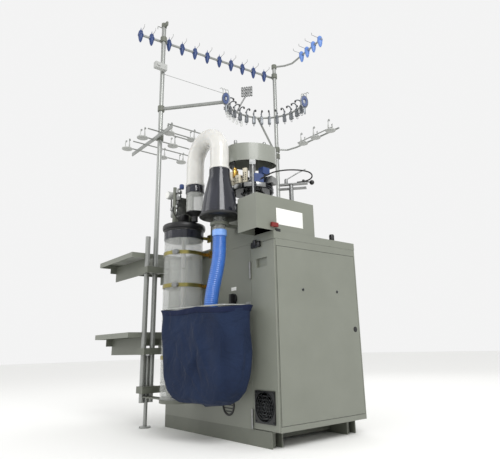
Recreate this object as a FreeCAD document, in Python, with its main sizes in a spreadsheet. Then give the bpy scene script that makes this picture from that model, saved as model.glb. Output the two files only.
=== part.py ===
import FreeCAD, Part
import math
import os
import re

# Small-diameter circular knitting machine: cabinet, knitting head, goods suction with a collecting
# bag, clear storage cylinder, cone shelves and overhead yarn creel.
# Frame: +X runs right along the front, +Y runs back into the machine, +Z is up. The origin lies on
# the floor at the centre of the four anchor holes. All sizes are in millimetres.

SIZES = {
    # base frame
    "base_half": 430, "beam_width": 59, "beam_height": 62, "beam_wall": 6, "anchor_x": 400,
    "anchor_y": 221.5, "anchor_radius": 7, "anchor_wall": 6, "stringer_width": 50, "stringer_x": 300, "stringer_floor": 12,
    # cabinet
    "cabinet_left": -430, "cabinet_right": 480, "cabinet_front": -251, "cabinet_back": 274,
    "cabinet_floor": 62, "cabinet_top": 870, "cover_skirt": 34, "sheet": 3, "door_gap": 2,
    "column_left": 318, "column_depth": 8, "column_foot": 66, "column_head": 832,
    "door_front": -238, "door_back": 266, "door_foot": 85, "door_head": 803, "door_depth": 18,
    "hinge_gap": 4, "door_pin_x": "=cabinet_right-5.5", "door_pin_y": "=door_front+3.5", "pin_radius": 2, "pin_reach": 12, "lock_y": 240, "lock_z": 455,
    "lock_radius": 9, "hinge_radius": 5, "hinge_lower": 62, "hinge_upper": 680, "hinge_length": 74,
    "handle_left": 357, "handle_right": 429, "handle_foot": 722, "handle_head": 762, "handle_depth": 14,
    "switch_x": 187, "switch_z": 602, "switch_radius": 25, "switch_depth": 8,
    # cooling fan on the electrics door
    "fan_x": 396.5, "fan_z": 152, "fan_side": 119, "fan_depth": 25, "fan_bore": 56, "fan_hub": 19,
    "blade_radius": 53, "blade_depth": 14, "grille_side": 125, "grille_depth": 5, "louvre_pitch": 14,
    # bed box and bed
    "box_left": -10, "box_right": 478, "box_back": 3, "box_step": 345, "box_front": -343, "box_head": 1026,
    "head_x": 215, "head_y": -150, "bed_radius": 120, "bed_height": 20, "bearing_radius": 66,
    "bearing_drop": 56, "needle_radius": 48, "needle_bore": 34, "needle_foot": 930, "needle_head": 1172,
    "running_fit": 0.05, "pulley_radius": 72, "pulley_foot": 938, "pulley_height": 22,
    "motor_x": 360, "motor_y": -40, "motor_radius": 60, "motor_length": 190, "shaft_radius": 8,
    "motor_pulley_radius": 30, "belt_width": 14, "belt_thickness": 3,
    "dial_radius": 44, "dial_height": 8, "dial_gap": 2, "dial_shaft_radius": 9, "dial_shaft_head": 1262,
    "ring_radius": 105, "ring_bore": 60, "ring_foot": 1124, "ring_layer": 12, "post_radius": 7, "post_place": 92,
    "bridge_foot": 1236, "bridge_height": 24, "bridge_width": 30, "column_inset": 8, "column_cos": 0.788, "column_sin": 0.616, "column_radius": 6.5,
    "cover_long": 125, "cover_short": 78, "cover_turn": 63, "cover_foot": 1276, "cover_head": 1367, "cover_wall": 2, "knob_radius": 9,
    "knob_height": 40, "lever_x": 391, "lever_y": -51, "lever_z": 1164, "lever_turn": 42,
    # storage cylinder
    "store_x": -97, "store_y": -355, "store_radius": 97, "store_wall": 4, "store_foot": 165, "store_head": 962,
    "store_cap_head": 992, "cap_lip": 108, "cap_skirt": 44, "flange_radius": 99, "flange_height": 15,
    "band_height": 18, "band_thickness": 2, "link_x": "=0.671*(store_radius+1.4)",
    "link_y": "=0.742*(store_radius+1.4)", "band_low": 350, "band_middle": 682, "band_high": 841,
    # suction path
    "duct_y": -360, "duct_right": 228, "duct_left": 12, "duct_radius": 45, "duct_wall": 3,
    "duct_right_foot": 1170, "duct_left_foot": 1040, "duct_head": 1442, "bell_radius": 88, "bell_foot": 964,
    "bell_neck": "=duct_radius+4", "bell_wall": 3, "sleeve_radius": 29, "sleeve_foot": 884, "sleeve_head": 985,
    "cuff_radius": 34, "cuff_foot": 858, "cuff_head": 905, "hose_radius": 31, "hose_wall": 2.5, "disc_height": 6,
    # collecting bag
    "bag_rim": 560, "bag_foot": 168, "bag_wall": 6, "hoop_radius": 4,
    # creel
    "pole_x": -480, "pole_y": -315, "pole_radius": 14, "pole_foot": 123, "pole_head": 2445, "pole_wall": 2.5,
    "side_pole_y": -365, "side_pole_head": 1010, "stub_y": -340, "stub_radius": "=(pole_y-side_pole_y)/2-pole_radius-1", "sleeve_wall": 7, "sleeve_height": 34, "stub_head": 360,
    "rear_pole_x": -372, "rear_pole_y": 548, "rear_pole_head": 2420, "rail_z": 2335, "rail_radius": 8,
    "shelf_left": -958, "shelf_right": "=pole_x-pole_radius-2", "shelf_front": -450, "shelf_back": 0, "upper_shelf": 917,
    "lower_shelf": 481, "shelf_depth": 28, "shelf_sheet": 2, "bracket_drop": 90, "cross_radius": 11, "strut_radius": 7, "arm_radius": 7, "cap_wall": 5, "tie_radius": 1.5, "cope_gap": 0.2,
    "ring_x": 7, "ring_y": 132, "guide_radius": 242, "guide_z": 1835, "guide_rod": 6, "rack_z": 1650, "strut_z": 1690,
    "rack_rod": 4, "rear_rack_z": 1740, "signal_z": 2112, "start_y": -252, "start_z": 892,
}

doc = FreeCAD.newDocument("knitting_machine")
sheet = doc.addObject("Spreadsheet::Sheet", "Sizes")
published = []


def fill_sheet():
    """Write each driving size and its alias into the spreadsheet."""
    for row, (alias, number) in enumerate(SIZES.items(), start=1):
        sheet.set(f"A{row}", alias)
        sheet.set(f"B{row}", str(number))
        sheet.setAlias(f"B{row}", alias)
    doc.recompute()


def value(alias):
    """Read one size back from the sheet as a number."""
    return float(sheet.get(alias))


def sized(expression):
    """Turn plain size names in an expression into sheet references."""
    def refer(match):
        word = match.group(0)
        return "Sizes." + word if word in SIZES else word
    return re.sub(r"[A-Za-z_][A-Za-z_0-9]*", refer, str(expression))


def bind(item, **expressions):
    for name, expression in expressions.items():
        item.setExpression(name.replace("__", "."), sized(expression))


def place(item, x, y, z):
    bind(item, Placement__Base__x=x, Placement__Base__y=y, Placement__Base__z=z)
    return item


def block(name, x, y, z):
    """A Part::Box between two faces on each axis, each given as a pair of expressions."""
    item = doc.addObject("Part::Box", name)
    bind(item, Length=f"({x[1]})-({x[0]})", Width=f"({y[1]})-({y[0]})", Height=f"({z[1]})-({z[0]})")
    return place(item, x[0], y[0], z[0])


TURNS = {"Z": (0, 0, 1, 0), "X": (0, 1, 0, 90), "Y": (1, 0, 0, -90)}


def rod(name, radius, length, x, y, z, axis="Z"):
    """A Part::Cylinder from a start point along one axis."""
    item = doc.addObject("Part::Cylinder", name)
    bind(item, Radius=radius, Height=length)
    a, b, c, angle = TURNS[axis]
    item.Placement = FreeCAD.Placement(FreeCAD.Vector(), FreeCAD.Rotation(FreeCAD.Vector(a, b, c), angle))
    return place(item, x, y, z)


def cut(name, base, *tools):
    for number, tool in enumerate(tools, start=1):
        last = number == len(tools)
        item = doc.addObject("Part::Cut", name if last else f"{name}_step_{number}")
        item.Base, item.Tool = base, tool
        base = item
    return base


def fuse(name, *pieces):
    item = doc.addObject("Part::MultiFuse", name)
    item.Shapes = list(pieces)
    item.Refine = True
    return item


def group(name, *pieces):
    item = doc.addObject("Part::Compound", name)
    item.Links = list(pieces)
    return item


def pipe(name, radius, wall, length, x, y, z, axis="Z"):
    outer = rod(name + "_outer", radius, length, x, y, z, axis)
    inner = rod(name + "_inner", f"({radius})-({wall})", length, x, y, z, axis)
    return cut(name, outer, inner)


def origin_plane(body, role):
    return next(item for item in body.Origin.OriginFeatures if item.Role == role)


def sketch_outline(body, role, points):
    """A closed outline whose corners are dimensioned from the origin; "0" puts a corner on the axis."""
    sketch = body.newObject("Sketcher::SketchObject", body.Name + "_outline")
    sketch.AttachmentSupport = [(origin_plane(body, role), "")]
    sketch.MapMode = "FlatFace"
    count = len(points)
    corners = [FreeCAD.Vector(number_of(x), number_of(y), 0) for x, y in points]
    for index in range(count):
        sketch.addGeometry(Part.LineSegment(corners[index], corners[(index + 1) % count]), False)
    import_constraints(sketch, points)
    return sketch


def number_of(expression):
    """The present value of a sum or difference of sizes and plain numbers."""
    total = 0.0
    for sign, term in re.findall(r"([+-]?)\s*([A-Za-z_0-9.]+)", str(expression)):
        number = value(term) if term in SIZES else float(term)
        total += -number if sign == "-" else number
    return total


def import_constraints(sketch, points):
    import Sketcher
    count = len(points)
    for index in range(count):
        sketch.addConstraint(Sketcher.Constraint("Coincident", index, 2, (index + 1) % count, 1))
    for index, (x, y) in enumerate(points):
        for kind, axis, expression in (("DistanceX", -2, x), ("DistanceY", -1, y)):
            if str(expression) == "0":
                sketch.addConstraint(Sketcher.Constraint("PointOnObject", index, 1, axis))
                continue
            number = number_of(expression)
            place_at = sketch.addConstraint(Sketcher.Constraint(kind, -1, 1, index, 1, number))
            sketch.setExpression(f"Constraints[{place_at}]", sized(expression))


def prism(name, points, height, x, y, z, role="XY_Plane"):
    """A PartDesign pad of an outline, placed by its outline's origin."""
    body = doc.addObject("PartDesign::Body", name)
    sketch = sketch_outline(body, role, points)
    pad = body.newObject("PartDesign::Pad", name + "_pad")
    pad.Profile = sketch
    bind(pad, Length=height)
    return place(body, x, y, z)


def turned(name, points, x, y, z="0"):
    """A PartDesign revolution of a (radius, height) outline about a vertical axis."""
    body = doc.addObject("PartDesign::Body", name)
    sketch = sketch_outline(body, "XZ_Plane", points)
    spin = body.newObject("PartDesign::Revolution", name + "_turn")
    spin.Profile = sketch
    spin.ReferenceAxis = (sketch, ["V_Axis"])
    spin.Angle = 360
    return place(body, x, y, z)


def feature(name, shape):
    item = doc.addObject("Part::Feature", name)
    item.Shape = shape
    return item


def publish(label, item):
    item.Label = label
    published.append(item)
    return item


def vector(x, y, z):
    return FreeCAD.Vector(x, y, z)


def route_wire(points, radii):
    """Straight runs between the points, joined by tangent arcs of the given radii."""
    spots = [vector(*point) for point in points]
    edges, start = [], spots[0]
    for index in range(1, len(spots) - 1):
        corner = spots[index]
        back, ahead = (spots[index - 1] - corner).normalize(), (spots[index + 1] - corner).normalize()
        half_turn = (math.pi - back.getAngle(ahead)) / 2
        reach = radii[index - 1] * math.tan(half_turn)
        first, last = corner + back * reach, corner + ahead * reach
        middle_way = (back + ahead).normalize()
        centre = corner + middle_way * (radii[index - 1] / math.cos(half_turn))
        edges.append(Part.LineSegment(start, first).toShape())
        edges.append(Part.Arc(first, centre - middle_way * radii[index - 1], last).toShape())
        start = last
    edges.append(Part.LineSegment(start, spots[-1]).toShape())
    return Part.Wire(edges)


def swept(points, bend_radii, radius):
    """A round bar along a route."""
    wire = route_wire(points, bend_radii)
    direction = vector(*points[1]) - vector(*points[0])
    circle = Part.Wire(Part.makeCircle(radius, vector(*points[0]), direction))
    return wire.makePipeShell([circle], True, False)


def cord_radii(points):
    """The largest tangent arcs that the runs of a cord allow."""
    spots = [vector(*point) for point in points]
    radii = []
    for before, corner, after in zip(spots, spots[1:], spots[2:]):
        runs = (corner - before), (after - corner)
        half_turn = runs[0].getAngle(runs[1]) / 2
        radii.append(0.45 * min(run.Length for run in runs) / math.tan(half_turn))
    return radii


def cord(name, points, radius, wall=0):
    """A round cord or hose along a free route, with its bends and its length printed."""
    radii = cord_radii(points)
    solid = swept(points, radii, radius)
    length = route_wire(points, radii).Length
    print(name, "bend radii", [round(r) for r in radii], "length", round(length),
          "volume ratio", round(solid.Volume / (math.pi * radius ** 2 * length), 4))
    return solid.cut(swept(points, radii, radius - wall)) if wall else solid


def moved(shape, x, y, z, heading=0):
    copy = shape.copy()
    copy.rotate(vector(0, 0, 0), vector(0, 0, 1), heading)
    copy.translate(vector(x, y, z))
    return copy


# ---------------------------------------------------------------- base and cabinet

def build_base():
    """Two folded channel beams across the machine, joined by two stringers."""
    beams = []
    for name, low, high in (("front", "-anchor_y-beam_width/2", "-anchor_y+beam_width/2"),
                            ("rear", "anchor_y-beam_width/2", "anchor_y+beam_width/2")):
        bar = block(name + "_bar", ("-base_half", "base_half"), (low, high), ("0", "beam_height"))
        core = block(name + "_core", ("-base_half-1", "base_half+1"),
                     (f"{low}+beam_wall", f"{high}-beam_wall"), ("-1", "beam_height-beam_wall"))
        beams.append(cut(name + "_channel", bar, core))
    for name, side in (("left", "-"), ("right", "")):
        beams.append(block(name + "_stringer", (f"{side}stringer_x-stringer_width/2", f"{side}stringer_x+stringer_width/2"),
                           ("-anchor_y+beam_width/2", "anchor_y-beam_width/2"), ("stringer_floor", "beam_height")))
    corners = [(f"{i}anchor_x", f"{j}anchor_y") for i in ("-", "") for j in ("-", "")]
    sleeves = [rod(f"anchor_sleeve_{n}", "anchor_radius+anchor_wall", "beam_height", x, y, "0")
               for n, (x, y) in enumerate(corners)]
    frame = fuse("frame_weld", *beams, *sleeves)
    holes = [rod(f"anchor_{n}", "anchor_radius", "beam_height+2", x, y, "-1") for n, (x, y) in enumerate(corners)]
    publish("base_frame", cut("base_frame", frame, *holes))


def build_shell():
    """Sheet casing, open at the right for the side door and at the front-right for the electrics door."""
    outer = block("shell_outer", ("cabinet_left", "cabinet_right"), ("cabinet_front", "cabinet_back"),
                  ("cabinet_floor", "cabinet_top-cover_skirt"))
    inner = block("shell_inner", ("cabinet_left+sheet", "cabinet_right-sheet"),
                  ("cabinet_front+sheet", "cabinet_back-sheet"),
                  ("cabinet_floor+sheet", "cabinet_top"))
    side = block("side_opening", ("cabinet_right-sheet-1", "cabinet_right+1"),
                 ("door_front-hinge_gap", "door_back+door_gap"), ("door_foot-door_gap", "door_head+door_gap"))
    front = block("front_opening", ("column_left-door_gap", "cabinet_right+1"),
                  ("cabinet_front-1", "cabinet_front+column_depth"), ("cabinet_floor-1", "column_head+door_gap"))
    inside = block("column_inside", ("column_left+16", "cabinet_right-16"),
                   ("cabinet_front-1", "cabinet_front+column_depth+sheet+1"), ("column_foot+14", "column_head-14"))
    wall = block("column_back", ("column_left-door_gap", "cabinet_right"),
                 ("cabinet_front+column_depth", "cabinet_front+column_depth+sheet/2"),
                 ("cabinet_floor", "cabinet_top-cover_skirt"))
    switch = rod("switch_hole", "5", "3*sheet", "switch_x", "cabinet_front-sheet", "switch_z", "Y")
    shell = cut("shell_skin", outer, inner, side, front)
    publish("cabinet_shell", cut("cabinet_shell", fuse("shell_weld", shell, wall), inside, switch))


def build_top():
    outer = block("top_outer", ("cabinet_left-1", "cabinet_right+1"), ("cabinet_front-1", "cabinet_back+1"),
                  ("cabinet_top-cover_skirt+0.5", "cabinet_top"))
    inner = block("top_inner", ("cabinet_left-1+sheet", "cabinet_right+1-sheet"),
                  ("cabinet_front-1+sheet", "cabinet_back+1-sheet"), ("cabinet_top-cover_skirt", "cabinet_top-sheet"))
    shaft = rod("top_shaft_hole", "shaft_radius+6", "3*sheet", "motor_x", "motor_y", "cabinet_top-2*sheet")
    goods = rod("top_goods_hole", "needle_radius", "3*sheet", "head_x", "head_y", "cabinet_top-2*sheet")
    publish("cabinet_top", cut("cabinet_top", outer, inner, shaft, goods))


def build_side_door():
    """Sheet tray door on concealed pins, with a quarter-turn lock at its rear edge."""
    outer = block("door_outer", ("cabinet_right-door_depth", "cabinet_right"), ("door_front", "door_back"),
                  ("door_foot", "door_head"))
    inner = block("door_inner", ("cabinet_right-door_depth-1", "cabinet_right-sheet"),
                  ("door_front+9", "door_back-sheet"), ("door_foot+sheet", "door_head-sheet"))
    lock = rod("lock_hole", "lock_radius+0.1", "3*sheet", "cabinet_right-2*sheet", "lock_y", "lock_z", "X")
    pin = rod("door_pin_hole", "pin_radius+running_fit", "door_head-door_foot+2",
              "door_pin_x", "door_pin_y", "door_foot-1")
    publish("side_door", cut("side_door", outer, inner, lock, pin))
    upper = rod("upper_pin", "pin_radius", "pin_reach+20", "door_pin_x", "door_pin_y", "door_head-pin_reach")
    lower = rod("lower_pin", "pin_radius", "pin_reach+20", "door_pin_x", "door_pin_y", "door_foot-20")
    ears = [block(f"pin_ear_{i}", ("cabinet_right-24", "cabinet_right-sheet"),
                  ("cabinet_front+column_depth+sheet/2", "door_pin_y+7"), z)
            for i, z in enumerate((("door_foot-door_gap-8", "door_foot-door_gap"),
                                   ("door_head+door_gap", "door_head+door_gap+8")))]
    barrels = [rod(f"hinge_{i}", "hinge_radius", "hinge_length", "column_left-2", "cabinet_front-hinge_radius", z)
               for i, z in enumerate(("hinge_lower+4", "hinge_upper"))]
    publish("door_hinges", group("door_hinges", fuse("lower_pivot", lower, ears[0]),
                                 fuse("upper_pivot", upper, ears[1]), *barrels))
    barrel = rod("lock_barrel", "lock_radius", "door_depth+1.5", "cabinet_right-door_depth-1", "lock_y", "lock_z", "X")
    bezel = rod("lock_bezel", "lock_radius+3", "1.5", "cabinet_right+0.2", "lock_y", "lock_z", "X")
    cam = block("lock_cam", ("cabinet_right-door_depth+3", "cabinet_right-door_depth+7"),
                ("lock_y-8", "lock_y+18"), ("lock_z-8", "lock_z+8"))
    publish("side_door_lock", fuse("side_door_lock", barrel, bezel, cam))


def build_electrics_door():
    """Narrow tray door with a grip recess and the fan opening, hung on two barrels."""
    outer = block("column_outer", ("column_left", "cabinet_right-door_gap"),
                  ("cabinet_front", "cabinet_front+column_depth-0.3"), ("column_foot", "column_head"))
    inner = block("column_inner", ("column_left+sheet", "cabinet_right-door_gap-sheet"),
                  ("cabinet_front+2", "cabinet_front+column_depth"), ("column_foot+sheet", "column_head-sheet"))
    fan = rod("fan_hole", "fan_bore", "9", "fan_x", "cabinet_front-1", "fan_z", "Y")
    grip = block("grip_hole", ("handle_left", "handle_right"), ("cabinet_front-1", "cabinet_front+3"),
                 ("handle_foot", "handle_head"))
    tray = cut("column_tray", outer, inner, fan, grip)
    cup = block("cup_outer", ("handle_left-5", "handle_right+5"), ("cabinet_front+2", "cabinet_front+handle_depth"),
                ("handle_foot-5", "handle_head+5"))
    hollow = block("cup_hollow", ("handle_left", "handle_right"), ("cabinet_front+1", "cabinet_front+handle_depth-1.5"),
                   ("handle_foot", "handle_head"))
    publish("electrics_door", fuse("electrics_door", tray, cut("grip_cup", cup, hollow)))


def build_fan():
    """Axial cooling fan behind a moulded grille."""
    plate = block("grille_plate", ("fan_x-grille_side/2", "fan_x+grille_side/2"),
                  ("cabinet_front-grille_depth", "cabinet_front"), ("fan_z-grille_side/2", "fan_z+grille_side/2"))
    bore = rod("grille_bore", "fan_bore", "grille_depth+2", "fan_x", "cabinet_front-grille_depth-1", "fan_z", "Y")
    bars = [block(f"louvre_{i}", ("fan_x-grille_side/2+2", "fan_x+grille_side/2-2"),
                  ("cabinet_front-grille_depth+1", "cabinet_front-1"),
                  (f"fan_z+({i})*louvre_pitch-2", f"fan_z+({i})*louvre_pitch+2")) for i in range(-3, 4)]
    publish("fan_grille", fuse("fan_grille", cut("grille_ring", plate, bore), *bars))
    body = block("fan_body", ("fan_x-fan_side/2", "fan_x+fan_side/2"),
                 ("cabinet_front+2", "cabinet_front+2+fan_depth"),
                 ("fan_z-fan_side/2", "fan_z+fan_side/2"))
    tunnel = rod("fan_tunnel", "fan_bore", "fan_depth+2", "fan_x", "cabinet_front+1", "fan_z", "Y")
    boss = rod("fan_boss", "fan_hub", "3", "fan_x", "cabinet_front+fan_depth-1", "fan_z", "Y")
    struts = [block("fan_strut_a", ("fan_x-fan_bore-1", "fan_x+fan_bore+1"),
                    ("cabinet_front+fan_depth-1", "cabinet_front+2+fan_depth"),
                    ("fan_z-3", "fan_z+3")),
              block("fan_strut_b", ("fan_x-3", "fan_x+3"),
                    ("cabinet_front+fan_depth-1", "cabinet_front+2+fan_depth"),
                    ("fan_z-fan_bore-1", "fan_z+fan_bore+1"))]
    spindle = rod("fan_spindle", "2", "fan_depth-8", "fan_x", "cabinet_front+8", "fan_z", "Y")
    publish("fan_frame", fuse("fan_frame", cut("fan_ring", body, tunnel), boss, spindle, *struts))
    hub = rod("rotor_hub", "fan_hub", "blade_depth", "fan_x", "cabinet_front+7", "fan_z", "Y")
    blades = []
    for number in range(5):
        blade = block(f"rotor_blade_{number}", ("0", "blade_radius"), ("0", "blade_depth-2"), ("-1", "1"))
        blade.Placement = FreeCAD.Placement(vector(0, 0, 0), FreeCAD.Rotation(vector(0, 1, 0), 72 * number))
        blades.append(place(blade, "fan_x", "cabinet_front+8", "fan_z"))
    bore = rod("rotor_bore", "2+running_fit", "blade_depth+2", "fan_x", "cabinet_front+6", "fan_z", "Y")
    publish("fan_rotor", cut("fan_rotor", fuse("rotor_blades", hub, *blades), bore))


def build_main_switch():
    rosette = rod("switch_rosette", "switch_radius", "switch_depth", "switch_x",
                  "cabinet_front-switch_depth-0.3", "switch_z", "Y")
    grip = block("switch_grip", ("switch_x-7", "switch_x+7"),
                 ("cabinet_front-switch_depth-16", "cabinet_front-switch_depth"),
                 ("switch_z-switch_radius+4", "switch_z+switch_radius-4"))
    stem = rod("switch_stem", "4.9", "12", "switch_x", "cabinet_front-4", "switch_z", "Y")
    publish("main_switch", fuse("main_switch", rosette, grip, stem))


# ---------------------------------------------------------------- knitting head

def build_bed_box():
    """Stepped sheet casing over the drive, open below and bored for the cylinder."""
    outline = [("0", "0"), ("box_right-box_left", "0"), ("box_right-box_left", "box_back-box_front"),
               ("box_step-box_left", "box_back-box_front"), ("box_step-box_left", "box_back-cabinet_front"),
               ("0", "box_back-cabinet_front")]
    outer = prism("box_outer", outline, "box_head-cabinet_top", "box_left", "box_back", "box_head")
    outer.Placement.Rotation = FreeCAD.Rotation(vector(1, 0, 0), 180)
    narrow = [("sheet", "sheet"), ("box_right-box_left-sheet", "sheet"),
              ("box_right-box_left-sheet", "box_back-box_front-sheet"),
              ("box_step-box_left+sheet", "box_back-box_front-sheet"),
              ("box_step-box_left+sheet", "box_back-cabinet_front-sheet"),
              ("sheet", "box_back-cabinet_front-sheet")]
    inner = prism("box_inner", narrow, "box_head-cabinet_top", "box_left", "box_back", "box_head-sheet")
    inner.Placement.Rotation = FreeCAD.Rotation(vector(1, 0, 0), 180)
    hole = rod("box_hole", "bearing_radius+0.5", "3*sheet", "head_x", "head_y", "box_head-2*sheet")
    button = rod("box_button_hole", "5", "3*sheet", "box_right-2*sheet", "start_y", "start_z", "X")
    publish("bed_box", cut("bed_box", outer, inner, hole, button))


def build_bed():
    """Cast bed with its bearing sleeve, cam ring stack, posts and the bridge that carries the dial."""
    publish("bed_plate", turned("bed_plate", [
        ("needle_radius+running_fit", "box_head-bearing_drop"), ("bearing_radius", "box_head-bearing_drop"),
        ("bearing_radius", "box_head"), ("bed_radius", "box_head"),
        ("bed_radius", "box_head+bed_height"), ("needle_radius+running_fit", "box_head+bed_height")],
        "head_x", "head_y"))
    publish("needle_cylinder", turned("needle_cylinder", [
        ("needle_bore", "needle_foot"), ("needle_radius", "needle_foot"),
        ("needle_radius", "needle_head"), ("needle_bore", "needle_head")], "head_x", "head_y"))
    layers = [("ring_bore", "ring_foot"), ("ring_radius", "ring_foot"), ("ring_radius", "ring_foot+ring_layer"),
              ("ring_radius-10", "ring_foot+ring_layer"), ("ring_radius-10", "ring_foot+ring_layer+6"),
              ("ring_radius", "ring_foot+ring_layer+6"), ("ring_radius", "ring_foot+2*ring_layer+6"),
              ("ring_bore", "ring_foot+2*ring_layer+6")]
    publish("cam_ring", turned("cam_ring", layers, "head_x", "head_y"))
    posts = []
    for number, (side_x, side_y) in enumerate(((0.8, -0.6), (-0.6, -0.8), (-0.8, 0.6), (0.6, 0.8))):
        posts.append(rod(f"post_{number}", "post_radius", "ring_foot-box_head-bed_height",
                         f"head_x+({side_x})*post_place", f"head_y+({side_y})*post_place", "box_head+bed_height"))
    publish("ring_posts", group("ring_posts", *posts))


def build_bridge():
    """Two columns on the bed carry a bridge; the dial shaft and the head cover hang on it."""
    columns = []
    for number, side in enumerate(("-", "+")):
        columns.append(rod(f"column_{number}", "column_radius", "bridge_foot-box_head-bed_height",
                           f"head_x{side}column_cos*(bed_radius-column_inset)",
                           f"head_y-({side}column_sin)*(bed_radius-column_inset)", "box_head+bed_height"))
    reach = value("bed_radius") - value("column_inset") + value("column_radius")
    bar = Part.makeBox(2 * reach, value("bridge_width"), value("bridge_height"),
                       vector(-reach, -value("bridge_width") / 2, 0))
    bore = Part.makeCylinder(value("dial_shaft_radius") + value("running_fit"), value("bridge_height"))
    heading = -math.degrees(math.atan2(value("column_sin"), value("column_cos")))
    beam = moved(bar.cut(bore), value("head_x"), value("head_y"), value("bridge_foot"), heading)
    publish("head_bridge", fuse("head_bridge", feature("bridge_beam", beam), *columns))
    plate = rod("dial_plate", "dial_radius", "dial_height", "head_x", "head_y", "needle_head+dial_gap")
    shaft = rod("dial_shaft", "dial_shaft_radius", "dial_shaft_head-needle_head-dial_gap",
                "head_x", "head_y", "needle_head+dial_gap")
    collar = rod("dial_collar", "dial_shaft_radius+6", "6", "head_x", "head_y", "bridge_foot+bridge_height+0.3")
    publish("dial", fuse("dial", plate, shaft, collar))


def oval(grow, foot, head):
    """An upright oval bar on the head's axis, larger or smaller than the cover by grow."""
    ellipse = Part.Ellipse(vector(0, 0, 0), value("cover_long") + grow, value("cover_short") + grow)
    bar = Part.Face(Part.Wire(ellipse.toShape())).extrude(vector(0, 0, head - foot))
    return moved(bar, value("head_x"), value("head_y"), foot, value("cover_turn"))


def build_cover():
    """Inverted oval cover over the dial drive, on two spacers, with two knobs."""
    foot, head, wall = value("cover_foot"), value("cover_head"), value("cover_wall")
    publish("drum_cover", feature("drum_cover", oval(0, foot, head).cut(oval(-wall, foot - 1, head - wall))))
    fixings = []
    turn = math.radians(value("cover_turn"))
    for number, reach in enumerate((-85, 65)):
        fixings.append(rod(f"knob_{number}", "knob_radius", "knob_height", f"head_x+({reach * math.cos(turn):.3f})",
                           f"head_y+({reach * math.sin(turn):.3f})", "cover_head"))
    for number, side in enumerate(("-", "+")):
        fixings.append(rod(f"spacer_{number}", "5", "cover_head-cover_wall-bridge_foot-bridge_height",
                           f"head_x{side}column_cos*40", f"head_y-({side}column_sin)*40",
                           "bridge_foot+bridge_height"))
    publish("cover_fixings", group("cover_fixings", *fixings))


def build_drive():
    """Servo motor under the cabinet top, with a belt to the cylinder pulley inside the bed box."""
    publish("cylinder_pulley", turned("cylinder_pulley", [
        ("needle_radius", "pulley_foot"), ("pulley_radius", "pulley_foot"),
        ("pulley_radius", "pulley_foot+pulley_height"), ("needle_radius", "pulley_foot+pulley_height")],
        "head_x", "head_y"))
    can = rod("motor_can", "motor_radius", "motor_length", "motor_x", "motor_y", "cabinet_top-sheet-motor_length")
    box = block("motor_terminals", ("motor_x-30", "motor_x+30"), ("motor_y+motor_radius-8", "motor_y+motor_radius+26"),
                ("cabinet_top-sheet-150", "cabinet_top-sheet-70"))
    publish("drive_motor", fuse("drive_motor", can, box))
    shaft = rod("motor_shaft", "shaft_radius", "pulley_foot+pulley_height+4-cabinet_top+sheet-0.3", "motor_x",
                "motor_y", "cabinet_top-sheet+0.3")
    wheel = rod("motor_wheel", "motor_pulley_radius", "pulley_height", "motor_x", "motor_y", "pulley_foot")
    publish("motor_pulley", fuse("motor_pulley", shaft, wheel))
    publish("drive_belt", feature("drive_belt", belt_shape()))


def belt_shape():
    """An open belt round both pulleys, on their outer faces."""
    gap, thick = 0.3, value("belt_thickness")
    big, small = value("pulley_radius") + gap, value("motor_pulley_radius") + gap
    a = vector(value("head_x"), value("head_y"), 0)
    b = vector(value("motor_x"), value("motor_y"), 0)
    loop = belt_face(a, b, big + thick, small + thick).cut(belt_face(a, b, big, small))
    low = value("pulley_foot") + (value("pulley_height") - value("belt_width")) / 2
    solid = loop.extrude(vector(0, 0, value("belt_width")))
    solid.translate(vector(0, 0, low))
    return solid


def belt_face(a, b, big, small):
    """The face inside two circles' outer tangents."""
    line = b - a
    base = math.atan2(line.y, line.x)
    lean = math.acos((big - small) / line.Length)

    def spot(centre, radius, angle):
        return centre + vector(radius * math.cos(angle), radius * math.sin(angle), 0)
    up, down = base + lean, base - lean
    edges = [Part.LineSegment(spot(a, big, up), spot(b, small, up)).toShape(),
             Part.Arc(spot(b, small, up), spot(b, small, base), spot(b, small, down)).toShape(),
             Part.LineSegment(spot(b, small, down), spot(a, big, down)).toShape(),
             Part.Arc(spot(a, big, down), spot(a, big, base + math.pi), spot(a, big, up)).toShape()]
    return Part.Face(Part.Wire(edges))


def on_head(angle, radius, z):
    """A point about the head axis, by its compass angle in degrees from +X."""
    turn = math.radians(angle)
    return (value("head_x") + radius * math.cos(turn), value("head_y") + radius * math.sin(turn), z)


def head_block(angle, radius, z, along, across, high):
    """A block outside the cylinder that faces the head axis."""
    shape = Part.makeBox(along, across, high, vector(-along / 2, -across / 2, 0))
    x, y, z = on_head(angle, radius, z)
    return moved(shape, x, y, z, angle)


def build_selectors():
    """Needle selection blocks that stand on the cam ring round the cylinder."""
    top = value("ring_foot") + 2 * value("ring_layer") + 6
    blocks = [head_block(240, 98, top, 34, 58, 72), head_block(203, 98, top, 20, 22, 48),
              head_block(276, 94, top, 26, 28, 44), head_block(299, 90, top, 22, 22, 74)]
    publish("selector_blocks", feature("selector_blocks", Part.makeCompound(blocks)))
    blue = head_block(2, 88, top + 44, 34, 44, 34).fuse(head_block(340, 84, top, 28, 48, 44))
    publish("actuator_box", feature("actuator_box", blue))


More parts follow.
